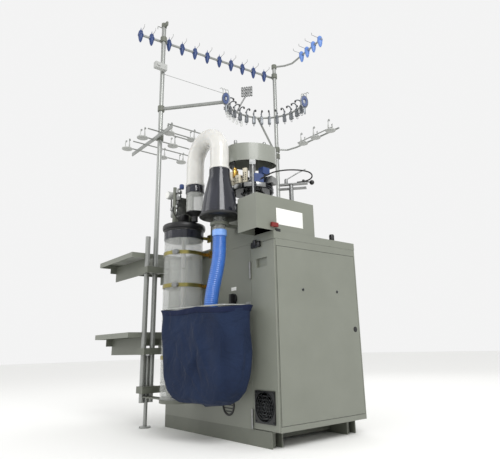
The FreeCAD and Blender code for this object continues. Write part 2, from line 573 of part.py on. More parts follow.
def build_feeders():
    """Yarn feeder bracket at the right of the head, with slotted plates and a ball-ended lever."""
    top = value("ring_foot") + 2 * value("ring_layer") + 6
    column = rod("feeder_column", "10", "lever_z-24-box_head", "lever_x", "lever_y", "box_head")
    rear = rod("feeder_rear_column", "8", "lever_z-24-box_head", "lever_x-51", "lever_y+43", "box_head")
    plate = Part.makeBox(140, 26, 6, vector(-60, -13, 0)).cut(Part.makeBox(50, 8, 8, vector(-50, -4, -1)))
    bars = [moved(plate, value("lever_x") - 51 * i, value("lever_y") + 43 * i, value("lever_z") - 24,
                  value("lever_turn")) for i in range(2)]
    head = head_block(22, 88, top, 70, 54, 34)
    publish("feeder_bracket", group("feeder_bracket", column, rear, feature("feeder_bars", Part.makeCompound(bars)),
                                    feature("feeder_head", head)))
    pivot = rod("lever_pivot", "6", "16", "lever_x+45", "lever_y+40", "lever_z-17.7")
    stem = swept([(value("lever_x") + 45, value("lever_y") + 40, value("lever_z") - 8),
                  (value("lever_x") + 53, value("lever_y") + 80, value("lever_z") - 8)], [], 3)
    ball = doc.addObject("Part::Sphere", "lever_ball")
    ball.Radius = 12
    place(ball, "lever_x+55", "lever_y+88", "lever_z-8")
    publish("ball_lever", fuse("ball_lever", pivot, feature("lever_stem", stem), ball))


# ---------------------------------------------------------------- storage cylinder

def build_store():
    """Clear cylinder on a flange, with a cap and three strap bands to the cabinet."""
    publish("storage_cylinder", pipe("storage_cylinder", "store_radius", "store_wall", "store_head-store_foot",
                                     "store_x", "store_y", "store_foot"))
    publish("storage_cap", turned("storage_cap", [
        ("0", "store_head"), ("store_radius+0.3", "store_head"), ("store_radius+0.3", "store_head-cap_skirt"),
        ("store_radius+3", "store_head-cap_skirt"), ("store_radius+3", "store_head+6"),
        ("cap_lip", "store_head+6"), ("cap_lip", "store_cap_head-8"), ("cap_lip-8", "store_cap_head"),
        ("0", "store_cap_head")], "store_x", "store_y"))
    flange = rod("flange_disc", "flange_radius", "flange_height", "store_x", "store_y", "store_foot-flange_height")
    lug = block("flange_lug", ("store_x-40", "store_x+40"), ("store_y", "cabinet_front"),
                ("store_foot-flange_height", "store_foot"))
    arm = block("flange_arm", ("pole_x+8", "store_x"), ("stub_y-30", "stub_y+12"),
                ("store_foot-flange_height", "store_foot-flange_height+6"))
    spigot = rod("flange_spigot", "store_radius-store_wall-0.3", "10", "store_x", "store_y", "store_foot")
    holes = [rod(f"arm_hole_{i}", size, "20", "pole_x", y, "store_foot-flange_height-1")
             for i, (y, size) in enumerate((("pole_y", "pole_radius"), ("side_pole_y", "pole_radius"),
                                            ("stub_y", "stub_radius")))]
    publish("storage_base", cut("storage_base", fuse("flange_weld", flange, lug, arm, spigot), *holes))
    bands = []
    for name, stand in (("low", 0), ("middle", 0), ("high", 1)):
        ring = pipe(f"band_{name}_ring", "store_radius+0.3+band_thickness", "band_thickness", "band_height",
                    "store_x", "store_y", f"band_{name}-band_height/2")
        tail = block(f"band_{name}_tail", ("store_x+link_x", "store_x+link_x+40"),
                     (f"cabinet_front-{stand}-3", f"cabinet_front-{stand}"),
                     (f"band_{name}-band_height/2", f"band_{name}+band_height/2"))
        link = block(f"band_{name}_link", ("store_x+link_x", "store_x+link_x+3"), ("store_y+link_y", f"cabinet_front-{stand}-1"),
                     (f"band_{name}-band_height/2", f"band_{name}+band_height/2"))
        bands += [fuse(f"band_{name}", ring, tail, link)]
    publish("clamp_bands", group("clamp_bands", *bands))


def build_valves():
    """Air valves, filter bowl and sight funnel on the cylinder cap."""
    base = "store_cap_head"
    manifold = block("manifold", ("store_x-48", "store_x+40"), ("store_y-44", "store_y+10"), (base, f"{base}+44"))
    panel = block("valve_panel", ("store_x-8", "store_x+50"), ("store_y+12", "store_y+24"), (base, f"{base}+180"))
    riser = pipe("valve_riser", "9", "2", "200", "store_x-6", "store_y-56", base)
    publish("valve_stand", group("valve_stand", manifold, panel, riser))
    body = block("valve_body", ("store_x-52", "store_x+4"), ("store_y-40", "store_y+6"),
                 (f"{base}+44", f"{base}+150"))
    drum = rod("gauge_drum", "20", "26", "store_x-62", "store_y-66.3", f"{base}+172", "Y")
    neck = rod("gauge_neck", "7", "30", "store_x-62", "store_y-41", f"{base}+172", "Y")
    stalk = block("gauge_stalk", ("store_x-68", "store_x-51"), ("store_y-20", "store_y-4"),
                  (f"{base}+60", f"{base}+182"))
    publish("pressure_valve", fuse("pressure_valve", body, drum, neck, stalk))
    publish("cap_funnel", turned("cap_funnel", [
        ("9", base), ("15", base), ("15", f"{base}+26"), ("duct_radius-1", f"{base}+44"), ("duct_radius-1", f"{base}+47.7"),
        ("9", f"{base}+30")], "duct_left", "store_y-4"))


# ---------------------------------------------------------------- suction path

def build_ducts():
    """Bent transfer tube from the bell up and over to the funnel beside the cylinder."""
    half = (value("duct_right") - value("duct_left")) / 2
    top = value("duct_head") - value("duct_radius")
    points = [(value("duct_right"), value("duct_y"), value("duct_right_foot")),
              (value("duct_right"), value("duct_y"), top),
              (value("duct_left"), value("duct_y"), top),
              (value("duct_left"), value("duct_y"), value("duct_left_foot"))]
    bends = [half - 0.5, half - 0.5]
    outer = swept(points, bends, value("duct_radius"))
    inner = swept(points, bends, value("duct_radius") - value("duct_wall"))
    publish("transfer_duct", feature("transfer_duct", outer.cut(inner)))
    publish("suction_bell", turned("suction_bell", [
        ("duct_radius+0.3", "duct_right_foot+28"), ("duct_radius+0.3", "duct_right_foot"),
        ("bell_radius-bell_wall-5", "bell_foot+60"), ("bell_radius-bell_wall", "bell_foot+6.3"),
        ("bell_radius", "bell_foot+6.3"), ("bell_radius-5", "bell_foot+60"),
        ("bell_neck", "duct_right_foot"), ("bell_neck", "duct_right_foot+28")], "duct_right", "duct_y"))
    publish("bell_base", turned("bell_base", [
        ("sleeve_radius+0.3", "bell_foot"), ("bell_radius+4", "bell_foot"),
        ("bell_radius+4", "bell_foot+disc_height"), ("sleeve_radius+0.3", "bell_foot+disc_height")],
        "duct_right", "duct_y"))
    publish("suction_sleeve", pipe("suction_sleeve", "sleeve_radius", "3", "sleeve_head-sleeve_foot",
                                   "duct_right", "duct_y", "sleeve_foot"))
    publish("hose_cuff", pipe("hose_cuff", "cuff_radius", "cuff_radius-sleeve_radius-0.3", "cuff_head-cuff_foot-26",
                              "duct_right", "duct_y", "cuff_foot+26"))
    bracket = block("bell_bar", ("duct_right-20", "duct_right+20"), ("duct_y+sleeve_radius+12", "cabinet_front-1"),
                    ("bell_foot-34", "bell_foot-28"))
    clamp = pipe("bell_clamp", "sleeve_radius+14", "13.7", "12", "duct_right", "duct_y", "bell_foot-37")
    foot = block("bell_bar_foot", ("duct_right-24", "duct_right+24"), ("cabinet_front-6", "cabinet_front"),
                 ("bell_foot-60", "bell_foot-28"))
    publish("bell_bracket", fuse("bell_bracket", bracket, clamp, foot))


HOSE_ROUTE = [(228, -360, 884), (228, -360, 835), (226, -362, 770), (215, -370, 700),
              (203, -380, 632), (206, -392, 566), (214, -398, 505), (210, -402, 452)]


def build_hose():
    points = [(x - 228 + value("duct_right"), y + 360 + value("duct_y"), z) for x, y, z in HOSE_ROUTE]
    publish("goods_hose", feature("goods_hose", cord("goods_hose", points, value("hose_radius"), value("hose_wall"))))


BAG_CORNERS = [(-28, -514), (330, -412), (369, -278), (11, -380)]


def bag_spots(z, shrink, squeeze):
    """The bag's four corners at one height, drawn in towards its centre."""
    centre = (sum(x for x, _ in BAG_CORNERS) / 4, sum(y for _, y in BAG_CORNERS) / 4)
    spots = []
    for x, y in BAG_CORNERS:
        dx, dy = x - centre[0], y - centre[1]
        factor = squeeze - shrink / math.hypot(dx, dy)
        spots.append(vector(centre[0] + dx * factor, centre[1] + dy * factor, z))
    return spots


def bag_outline(z, shrink, squeeze):
    """The bag's rounded section at one height, as a wire."""
    spots = bag_spots(z, shrink, squeeze)
    arcs = []
    for index in range(4):
        before, corner, after = spots[index - 1], spots[index], spots[(index + 1) % 4]
        back, ahead = (before - corner).normalize(), (after - corner).normalize()
        arcs.append((corner + back * 26, corner + (back + ahead) * 8, corner + ahead * 26))
    edges = []
    for index, (first, middle, last) in enumerate(arcs):
        edges.append(Part.Arc(first, middle, last).toShape())
        edges.append(Part.LineSegment(last, arcs[(index + 1) % 4][0]).toShape())
    return Part.Wire(edges)


def build_bag():
    """Cloth collecting bag, open at the top, on a rod hoop held by two arms."""
    rim, foot, wall = value("bag_rim"), value("bag_foot"), value("bag_wall")
    levels = [(rim - 4.3, 0, 1.0), ((rim + foot) / 2, 0, 0.98), (foot + 40, 0, 0.80), (foot, 0, 0.60)]
    outer = Part.makeLoft([bag_outline(z, s, q) for z, s, q in levels], True, True)
    inner = Part.makeLoft([bag_outline(z + (wall if z == foot else 0), wall, q) for z, s, q in levels], True, True)
    mouth = Part.Face(bag_outline(rim - 7, wall, 1.0)).extrude(vector(0, 0, 20))
    publish("collecting_bag", feature("collecting_bag", outer.cut(inner).cut(mouth)))
    corners = bag_spots(rim, 6, 1.0)
    butt = (corners[2] + corners[3]) * 0.5
    half_gap = (corners[2] - corners[3]).normalize() * 0.3
    route = [butt - half_gap, corners[3], corners[0], corners[1], corners[2], butt + half_gap]
    hoop = swept([tuple(spot) for spot in route], [24] * 4, value("hoop_radius"))
    front = value("cabinet_front")
    for x in (70, 290):
        y = -377 + (x - 11) * 102 / 358
        hoop = hoop.fuse(Part.makeBox(14, front - y, 6, vector(x, y, rim - 3)))
        hoop = hoop.fuse(Part.makeBox(30, 4, 40, vector(x - 8, front - 4, rim - 20)))
    publish("bag_hoop", feature("bag_hoop", hoop))


# ---------------------------------------------------------------- creel

def build_poles():
    tubes = [pipe(name, "pole_radius", "pole_wall", f"{head}-pole_foot", x, y, "pole_foot")
             for name, head, x, y in (("front_pole", "pole_head", "pole_x", "pole_y"),
                                      ("side_pole", "side_pole_head", "pole_x", "side_pole_y"),
                                      ("rear_pole", "rear_pole_head", "rear_pole_x", "rear_pole_y"))]
    publish("creel_poles", group("creel_poles", *tubes))
    stub = rod("stub_rod", "stub_radius", "stub_head", "pole_x", "stub_y", "0")
    pad = rod("stub_pad", "30", "8", "pole_x", "stub_y", "0")
    rear_stub = rod("rear_stub_rod", "pole_radius-pole_wall-0.3", "320", "rear_pole_x", "rear_pole_y", "0")
    rear_collar = rod("rear_stub_collar", "pole_radius", "20", "rear_pole_x", "rear_pole_y", "pole_foot-20")
    rear_pad = rod("rear_stub_pad", "30", "8", "rear_pole_x", "rear_pole_y", "0")
    publish("pole_feet", group("pole_feet", fuse("front_foot", stub, pad),
                               fuse("rear_foot", rear_stub, rear_collar, rear_pad)))


def pole_clamp(name, z, height):
    """A clamp block with bores for both front poles and the foot rod, tied to the cabinet side."""
    body = block(name + "_body", ("pole_x-22", "cabinet_left"), ("side_pole_y-22", "pole_y+22"), (z, f"{z}+{height}"))
    bores = [rod(f"{name}_bore_{i}", size, f"{height}+2", "pole_x", y, f"{z}-1")
             for i, (y, size) in enumerate((("pole_y", "pole_radius"), ("side_pole_y", "pole_radius"),
                                            ("stub_y", "stub_radius")))]
    tie = block(name + "_tie", ("pole_x+30", "cabinet_left"), ("pole_y", "cabinet_front+60"), (z, f"{z}+{height}"))
    return fuse(name, cut(name + "_cut", body, *bores), tie)


def build_clamps():
    """Clamps that hold the poles, the stub and the rear pole to the cabinet."""
    clamps = [pole_clamp("low_clamp", "170", 34),
              pole_clamp("shelf_clamp_low", "lower_shelf-shelf_depth-bracket_drop", 34),
              pole_clamp("shelf_clamp_high", "upper_shelf-shelf_depth-bracket_drop", 34)]
    link = Part.makeBox(20, value("rear_pole_y") - value("cabinet_back") - value("pole_radius"), 30,
                        vector(value("rear_pole_x") - 10, value("cabinet_back"), 0))
    for number, z in enumerate((180, 760)):
        clamps.append(feature(f"rear_link_{number}", moved(link, 0, 0, z)))
    cap = rod("pole_cap", "pole_radius+3", "26", "pole_x", "pole_y", "pole_head-14")
    hook = block("pole_hook", ("pole_x", "pole_x+46"), ("pole_y-6", "pole_y+6"), ("pole_head-20", "pole_head+6"))
    inner = rod("pole_cap_bore", "pole_radius", "14", "pole_x", "pole_y", "pole_head-14")
    clamps.append(cut("pole_top", fuse("pole_top_weld", cap, hook), inner,
                      rod("pole_cap_core", "pole_radius", "15", "pole_x", "pole_y", "pole_head-20")))
    rear_cap = rod("rear_cap", "pole_radius+cap_wall", "30", "rear_pole_x", "rear_pole_y", "rear_pole_head-20")
    rear_core = rod("rear_cap_bore", "pole_radius", "20", "rear_pole_x", "rear_pole_y", "rear_pole_head-20")
    clamps.append(cut("rear_top", rear_cap, rear_core))
    for number, (x, y, z) in enumerate((("pole_x", "pole_y", "guide_z"), ("pole_x", "pole_y", "rack_z-11"),
                                        ("rear_pole_x", "rear_pole_y", "rear_rack_z"),
                                        ("rear_pole_x", "rear_pole_y", "strut_z"),
                                        ("rear_pole_x", "rear_pole_y", "rail_z"), ("pole_x", "pole_y", "rail_z"))):
        sleeve = pipe(f"sleeve_{number}", "pole_radius+sleeve_wall", "sleeve_wall", "sleeve_height", x, y,
                      f"{z}-sleeve_height/2")
        if z == "rail_z":
            sleeve = cut(f"rail_sleeve_{number}", sleeve, feature(f"rail_core_{number}", rail_bar()))
        clamps.append(sleeve)
    publish("pole_clamps", group("pole_clamps", *clamps))


def build_shelves():
    """Two folded trays for yarn cones, each on a gusset plate."""
    plates = []
    for name, level in (("upper_shelf", "upper_shelf"), ("lower_shelf", "lower_shelf")):
        outer = block(name + "_outer", ("shelf_left", "shelf_right"), ("shelf_front", "shelf_back"),
                      (f"{level}-shelf_depth", level))
        inner = block(name + "_inner", ("shelf_left+shelf_sheet", "shelf_right-shelf_sheet"),
                      ("shelf_front+shelf_sheet", "shelf_back-shelf_sheet"),
                      (f"{level}-shelf_depth-1", f"{level}-shelf_sheet"))
        publish(name, cut(name, outer, inner))
        under = f"{level}-shelf_depth"
        arm = block(name + "_arm", ("shelf_left+60", "pole_x-22"), ("side_pole_y-3", "side_pole_y+3"),
                    (f"{under}-bracket_drop", under))
        beam = block(name + "_beam", ("shelf_left+60", "shelf_left+64"), ("side_pole_y-40", "shelf_back-20"),
                     (f"{under}-40", under))
        rear = block(name + "_rear", ("shelf_left+60", "cabinet_left-1"), ("shelf_back-60", "shelf_back-54"),
                     (f"{under}-bracket_drop", under))
        foot = block(name + "_foot", ("cabinet_left-1", "cabinet_left"), ("shelf_back-80", "shelf_back-34"),
                     (f"{under}-bracket_drop", f"{under}-bracket_drop+34"))
        plates.append(fuse(name + "_bracket", arm, beam, rear, foot))
    publish("shelf_brackets", group("shelf_brackets", *plates))


def coped(bar, pole, grip):
    """Cut the end of a bar to fit round a pole, or round the sleeve on it."""
    x, y = value(pole + "_x"), value(pole + "_y")
    radius = value("pole_radius") + grip + value("cope_gap")
    return bar.cut(Part.makeCylinder(radius, value("pole_head"), vector(x, y, value("pole_foot"))))


def guide_arms():
    """Tube from the front pole to the guide ring, strut from the ring to the rear pole, and thin tie rod."""
    pole_x, pole_y = value("pole_x"), value("pole_y")
    tube = swept([(pole_x, pole_y, value("guide_z")), ring_spot(226.5, 6.5)], [], value("cross_radius"))
    strut_start = vector(*ring_spot(152.9))
    strut_end = vector(value("rear_pole_x"), value("rear_pole_y"), value("strut_z"))
    strut = swept([tuple(strut_start + (strut_end - strut_start).normalize() * 9), tuple(strut_end)], [],
                  value("strut_radius"))
    tie = swept([(pole_x, pole_y, value("signal_z") - 26), ring_spot(233, 4, 38.6)], [], value("tie_radius"))
    return [coped(tube, "pole", value("sleeve_wall")), coped(strut, "rear_pole", value("sleeve_wall")),
            coped(tie, "pole", 0)]


def ring_spot(angle, out=0, up=0):
    turn = math.radians(angle)
    radius = value("guide_radius") + out
    return (value("ring_x") + radius * math.cos(turn), value("ring_y") + radius * math.sin(turn),
            value("guide_z") + up)


def build_guide_ring():
    """Half ring with tensioner units along it and a cheek plate at each end."""
    rod_wire = Part.Wire(Part.Arc(vector(*ring_spot(232)), vector(*ring_spot(147)), vector(*ring_spot(62))).toShape())
    tangent = rod_wire.Edges[0].tangentAt(rod_wire.Edges[0].FirstParameter)
    circle = Part.Wire(Part.makeCircle(value("guide_rod"), vector(*ring_spot(232)), tangent))
    ring = rod_wire.makePipeShell([circle], True, False)
    arms = [arm.cut(ring) for arm in guide_arms()]
    publish("guide_ring", feature("guide_ring", Part.makeCompound([ring] + arms)))
    clearance = value("guide_rod")
    units = []
    for number in range(13):
        angle = 220 - number * 12.2
        body = Part.makeBox(14, 16, 46, vector(-7, -8, -46 - clearance))
        hook = Part.makeBox(5, 40, 5, vector(-2.5, 3, 30))
        mast = Part.makeBox(6, 6, 36, vector(-3, -3, clearance))
        x, y, z = ring_spot(angle)
        units.append(moved(Part.makeCompound([body, mast.fuse(hook)]), x, y, z, angle + 90))
    bundle_x, bundle_y, bundle_z = ring_spot(189.5, 0, value("guide_rod"))
    stalk = swept([(bundle_x, bundle_y, bundle_z), (bundle_x + 18, bundle_y + 16, bundle_z + 60),
                   (bundle_x + 70, bundle_y + 58, bundle_z + 150)], [60], 5)
    fork = Part.makeBox(70, 12, 70, vector(-5, -6, 0))
    units += [stalk.fuse(moved(fork, bundle_x + 30, bundle_y + 26, bundle_z + 100, 40)).cut(ring)]
    for angle in (233.05, 60.95):
        disc = Part.makeCylinder(34, 8, vector(0, -4, 0), vector(0, 1, 0))
        x, y, z = ring_spot(angle)
        units.append(moved(disc, x, y, z + 4, angle))
    publish("yarn_tensioners", feature("yarn_tensioners", Part.makeCompound(units)))


def rail_spot(share):
    """A point along the top rail, from its front end (0) to the rear pole (1)."""
    front = vector(value("pole_x") - value("pole_radius") - 27, value("pole_y") - 148, value("rail_z"))
    rear = vector(value("rear_pole_x") - value("pole_radius") - 8.3, value("rear_pole_y") + 20, value("rail_z"))
    return front + (rear - front) * share


def rail_bar():
    return swept([tuple(rail_spot(0)), tuple(rail_spot(1))], [], value("rail_radius"))


def heading_along(first, last):
    """Degrees to turn +Y so that it runs from the first point to the last."""
    return math.degrees(math.atan2(last[1] - first[1], last[0] - first[0])) - 90


def build_top_rail():
    """Stop-motion sensors on the top rail and on the right-hand arm, each with its drop wire."""
    arm_z = value("rear_pole_head") - 5
    arm_points = [(value("rear_pole_x") + 4, value("rear_pole_y") + 1, arm_z), (-306, 600, arm_z),
                  (-250, 622, arm_z), (90, 582, arm_z)]
    build_racks([rail_bar(), coped(swept(arm_points, [30, 30], value("arm_radius")), "rear_pole", value("cap_wall"))])
    shares = [0.005, 0.075, 0.19, 0.28, 0.37, 0.46, 0.55, 0.64, 0.73, 0.82, 0.91]
    heading = heading_along(rail_spot(0), rail_spot(1))
    spots = [rail_spot(share) for share in shares]
    bodies = [sensor_body(spot, value("rail_radius"), heading) for spot in spots]
    publish("drop_wires", feature("drop_wires", Part.makeCompound([drop_wire(spot, heading) for spot in spots])))
    arm_start, arm_end = vector(*arm_points[2]), vector(*arm_points[3])
    heading = heading_along(arm_start, arm_end)
    spots = [arm_start + (arm_end - arm_start) * share for share in (0.34, 0.53, 0.74, 0.95)]
    bodies += [sensor_body(spot, value("arm_radius"), heading) for spot in spots]
    publish("arm_drop_wires", feature("arm_drop_wires", Part.makeCompound([drop_wire(s, heading) for s in spots])))
    publish("yarn_sensors", feature("yarn_sensors", Part.makeCompound(bodies)))


def sensor_body(spot, rail_radius, heading):
    """A moulded sensor threaded on its rail, which runs along the sensor's own Y."""
    shell = Part.makeBox(30, 24, 84, vector(-15, -12, -52))
    bore = Part.makeCylinder(rail_radius + 0.2, 30, vector(0, -15, 0), vector(0, 1, 0))
    return moved(shell.cut(bore), spot.x, spot.y, spot.z, heading)


def drop_wire(spot, heading):
    """A wire finger with an eye that hangs in front of its sensor."""
    finger = Part.makeBox(58, 2, 2, vector(15.6, -1, 14))
    eye = Part.makeBox(2, 2, 16, vector(71.6, -1, 16))
    return moved(finger.fuse(eye), spot.x, spot.y, spot.z, heading)


def build_racks(rails):
    """The sensor rails, and pairs of thin rods with disc tensioners on an arm from each pole."""
    z, thin = value("rack_z"), value("rack_rod")
    bar_y = value("pole_y") - value("pole_radius") - value("sleeve_wall") - 8
    rods = [Part.makeBox(530, 8, 22, vector(-815, bar_y, z - thin - 22))]
    for outer_x, inner_x, low, high in ((-757, -645, -414, 20), (-545, -424, -424, -70), (-392, -300, -360, -120)):
        for x in (outer_x, inner_x):
            rods.append(swept([(x, low, z), (x, high, z)], [], thin))
    holders = [rack_holder(x, y, z, thin, 0, 14) for x, y in (
        (-757, -403), (-757, -150), (-757, -6), (-545, -400), (-545, -190), (-392, -300), (-392, -140))]
    rear_z = value("rear_rack_z")
    bent = swept([(value("rear_pole_x") + 8, value("rear_pole_y") + 3, rear_z + 2), (-327, 612, rear_z + 2),
                  (-250, 630, rear_z + 2), (140, 636, rear_z + 2)], [20, 20], thin + 2)
    rods.append(coped(bent, "rear_pole", value("sleeve_wall")))
    rods.append(swept([(-190, 582, rear_z), (125, 588, rear_z)], [], thin))
    holders += [rack_holder(x, 604, rear_z, thin, 0, -19) for x in (-160, -40, 95)]
    publish("creel_rods", feature("creel_rods", Part.makeCompound(rails + rods)))
    publish("disc_tensioners", feature("disc_tensioners", Part.makeCompound(holders)))


def rack_holder(x, y, z, thin, stem_x, stem_y):
    """A disc under the rods, and the stem of its hooked eye standing on a rod."""
    disc = Part.makeCylinder(34, 8, vector(x, y, z - thin - 8))
    stem = Part.makeCylinder(5, 44, vector(x + stem_x, y + stem_y, z + thin))
    return Part.makeCompound([disc, stem])


def build_signal():
    """Signal box with its stop knob on the front pole."""
    body = block("signal_body", ("pole_x+pole_radius", "pole_x+pole_radius+30"), ("pole_y-70", "pole_y+10"),
                 ("signal_z-20", "signal_z+20"))
    knob = rod("signal_knob", "10", "8", "pole_x+pole_radius+30", "pole_y-50", "signal_z", "X")
    publish("signal_box", group("signal_box", body, knob))


def build_start_button():
    """Red paddle on a sprung stem through the bed box."""
    cap = block("paddle", ("box_right+4.3", "box_right+16"), ("start_y-18", "start_y+18"), ("start_z-9", "start_z+9"))
    stem = rod("paddle_stem", "4.9", "14.3", "box_right-10", "start_y", "start_z", "X")
    publish("start_button", fuse("start_button", cap, stem))


def build_control_unit():
    """Control electronics box on the cabinet floor."""
    case = block("control_unit", ("cabinet_left+60", "cabinet_left+360"), ("cabinet_back-160", "cabinet_back-sheet"),
                 ("cabinet_floor+sheet", "cabinet_floor+420"))
    publish("control_unit", case)


def check_and_export():
    """Stop on any failed object, then write one STEP file for each sub-part."""
    doc.recompute()
    for item in doc.Objects:
        if "Invalid" in item.State or "Error" in item.State:
            raise RuntimeError(f"{item.Name} failed: {item.State}")
    os.makedirs("parts", exist_ok=True)
    for item in published:
        shape = item.Shape
        if shape.isNull() or not shape.isValid():
            raise RuntimeError(f"{item.Label} has no valid shape")
        shape.exportStep(os.path.join("parts", item.Label + ".step"))
    print(len(published), "sub-parts written")


fill_sheet()
for build in (build_base, build_shell, build_top, build_side_door, build_electrics_door, build_fan,
              build_main_switch, build_bed_box, build_bed, build_bridge, build_cover, build_drive,
              build_selectors, build_feeders, build_store, build_valves, build_ducts, build_hose, build_bag,
              build_poles, build_clamps, build_shelves, build_guide_ring, build_top_rail,
              build_signal, build_start_button, build_control_unit):
    build()
check_and_export()
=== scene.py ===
"""Circular knitting machine: cabinet, head, yarn creel, suction take-off and collecting bag."""
import logging
import math
import random
from dataclasses import dataclass, field
from enum import Enum
from typing import Callable, Sequence

import bmesh
import bpy
from mathutils import Matrix, Vector


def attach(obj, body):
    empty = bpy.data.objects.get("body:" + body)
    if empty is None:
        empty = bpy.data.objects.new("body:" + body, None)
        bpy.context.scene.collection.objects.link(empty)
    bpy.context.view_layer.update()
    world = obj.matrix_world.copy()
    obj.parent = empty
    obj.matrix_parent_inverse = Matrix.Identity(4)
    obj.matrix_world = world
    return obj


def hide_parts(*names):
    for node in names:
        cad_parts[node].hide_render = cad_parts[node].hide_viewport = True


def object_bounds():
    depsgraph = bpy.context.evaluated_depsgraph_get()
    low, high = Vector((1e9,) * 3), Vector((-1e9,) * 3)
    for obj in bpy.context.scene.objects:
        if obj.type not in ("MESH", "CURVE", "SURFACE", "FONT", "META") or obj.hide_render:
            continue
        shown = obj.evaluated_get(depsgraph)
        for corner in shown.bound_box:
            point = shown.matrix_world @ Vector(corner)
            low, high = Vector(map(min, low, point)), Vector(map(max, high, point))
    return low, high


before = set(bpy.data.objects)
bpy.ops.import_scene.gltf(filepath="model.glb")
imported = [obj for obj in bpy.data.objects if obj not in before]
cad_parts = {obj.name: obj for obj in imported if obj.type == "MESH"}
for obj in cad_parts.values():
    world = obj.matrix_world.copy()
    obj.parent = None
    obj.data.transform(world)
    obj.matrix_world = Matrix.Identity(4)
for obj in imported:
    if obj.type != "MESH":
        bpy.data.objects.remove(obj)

CAD_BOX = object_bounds()
LOG = logging.getLogger("knitting_machine")
MM = 0.001
LOFT_ANGLE = 80.0  # the sharpest angle shaded smooth on a lofted surface, in degrees
Point = Sequence[float]


class Way(Enum):
    """The machine's main directions, as unit vectors."""

    X = (1.0, 0.0, 0.0)
    Y = (0.0, 1.0, 0.0)
    Z = (0.0, 0.0, 1.0)


# ---------------------------------------------------------------- finishes


def linear(colour: str) -> tuple[float, float, float, float]:
    """Turn an sRGB hex colour into linear light.

    Args:
        colour: six hex digits after a hash sign.

    Returns:
        Red, green, blue and alpha.
    """
    parts = [int(colour[i:i + 2], 16) / 255 for i in (1, 3, 5)]
    return tuple(c / 12.92 if c <= 0.04045 else ((c + 0.055) / 1.055) ** 2.4 for c in parts) + (1.0,)


def add_node(tree: bpy.types.NodeTree, kind: str, settings: dict | None = None,
             links: dict | None = None) -> bpy.types.Node:
    """Add one node with its settings and its links.

    Args:
        tree: the node tree it goes in.
        kind: the node's type name.
        settings: attribute names, or socket names and numbers, with their values.
        links: socket names or numbers, with the sockets that feed them.

    Returns:
        The new node.
    """
    node = tree.nodes.new(kind)
    for key, value in (settings or {}).items():
        if isinstance(key, str) and hasattr(node, key):
            setattr(node, key, value)
        else:
            node.inputs[key].default_value = value
    for key, source in (links or {}).items():
        tree.links.new(source, node.inputs[key])
    return node


@dataclass(frozen=True)
class Finish:
    """A surface with two mottled tones, a fine relief and, where it is painted, worn edges."""

    name: str
    light: str
    dark: str
    rough: float
    metal: float = 0.0
    patch_mm: float = 140.0
    grain_mm: float = 2.0
    relief_mm: float = 0.02
    stretch: tuple[float, float, float] = (1.0, 1.0, 1.0)
    rough_swing: float = 0.08
    worn: str | None = None
    worn_mm: float = 1.6
    coat: float = 0.0
    alpha: float = 1.0
    glow: float = 0.0
    gleam: float = 0.5

    def material(self) -> bpy.types.Material:
        """Return the material, made on first use."""
        known = bpy.data.materials.get(self.name)
        if known:
            return known
        made = bpy.data.materials.new(self.name)
        made.use_nodes = True
        tree = made.node_tree
        shader = tree.nodes["Principled BSDF"]
        shader.inputs["Metallic"].default_value = self.metal
        shader.inputs["Coat Weight"].default_value = self.coat
        shader.inputs["Alpha"].default_value = self.alpha
        shader.inputs["Specular IOR Level"].default_value = self.gleam
        shader.inputs["Subsurface Weight"].default_value = self.glow
        shader.inputs["Subsurface Radius"].default_value = (0.02, 0.018, 0.015)
        place = add_node(tree, "ShaderNodeTexCoord")
        where = add_node(tree, "ShaderNodeMapping", {"Scale": self.stretch}, {"Vector": place.outputs["Object"]})
        patches = add_node(tree, "ShaderNodeTexNoise", {"Scale": 1000 / self.patch_mm, "Detail": 4.0},
                           {"Vector": where.outputs[0]})
        grain = add_node(tree, "ShaderNodeTexNoise", {"Scale": 1000 / self.grain_mm, "Detail": 2.0},
                         {"Vector": where.outputs[0]})
        tone = add_node(tree, "ShaderNodeMix", {"data_type": "RGBA", 6: linear(self.dark), 7: linear(self.light)},
                        {0: patches.outputs["Fac"]})
        colour = tone.outputs[2]
        if self.worn:
            colour = self.wear(tree, colour)
        tree.links.new(colour, shader.inputs["Base Color"])
        gloss = add_node(tree, "ShaderNodeMapRange",
                         {"To Min": self.rough - self.rough_swing, "To Max": self.rough + self.rough_swing},
                         {"Value": patches.outputs["Fac"]})
        tree.links.new(gloss.outputs[0], shader.inputs["Roughness"])
        relief = add_node(tree, "ShaderNodeBump", {"Distance": self.relief_mm * MM, "Strength": 0.8},
                          {"Height": grain.outputs["Fac"]})
        tree.links.new(relief.outputs[0], shader.inputs["Normal"])
        return made

    def wear(self, tree: bpy.types.NodeTree, colour: bpy.types.NodeSocket) -> bpy.types.NodeSocket:
        """Rub the paint thin along edges.

        Args:
            tree: the material's nodes.
            colour: the unworn colour.

        Returns:
            The colour with its edges worn.
        """
        soft = add_node(tree, "ShaderNodeBevel", {"samples": 4, "Radius": self.worn_mm * MM})
        sharp = add_node(tree, "ShaderNodeNewGeometry")
        turn = add_node(tree, "ShaderNodeVectorMath", {"operation": "DOT_PRODUCT"},
                        {0: soft.outputs[0], 1: sharp.outputs["True Normal"]})
        edge = add_node(tree, "ShaderNodeMapRange", {"From Min": 0.98, "From Max": 0.8, "To Max": 0.55},
                        {"Value": turn.outputs["Value"]})
        return add_node(tree, "ShaderNodeMix", {"data_type": "RGBA", 7: linear(self.worn)},
                        {0: edge.outputs[0], 6: colour}).outputs[2]


# Polyester powder coat, sprayed and baked: a satin grey-green with a fine orange peel, rubbed at the edges.
CABINET_COAT = Finish("powder_coat_grey_green", "#7f8278", "#71746a", 0.42, grain_mm=3.0, relief_mm=0.04,
                      worn="#a0a29a")
# The same coat on welded parts: a little darker and rougher, with scuffs.
FRAME_COAT = Finish("powder_coat_dark_green", "#6f7268", "#5c5f55", 0.5, patch_mm=60.0, relief_mm=0.06,
                    worn="#84867e")
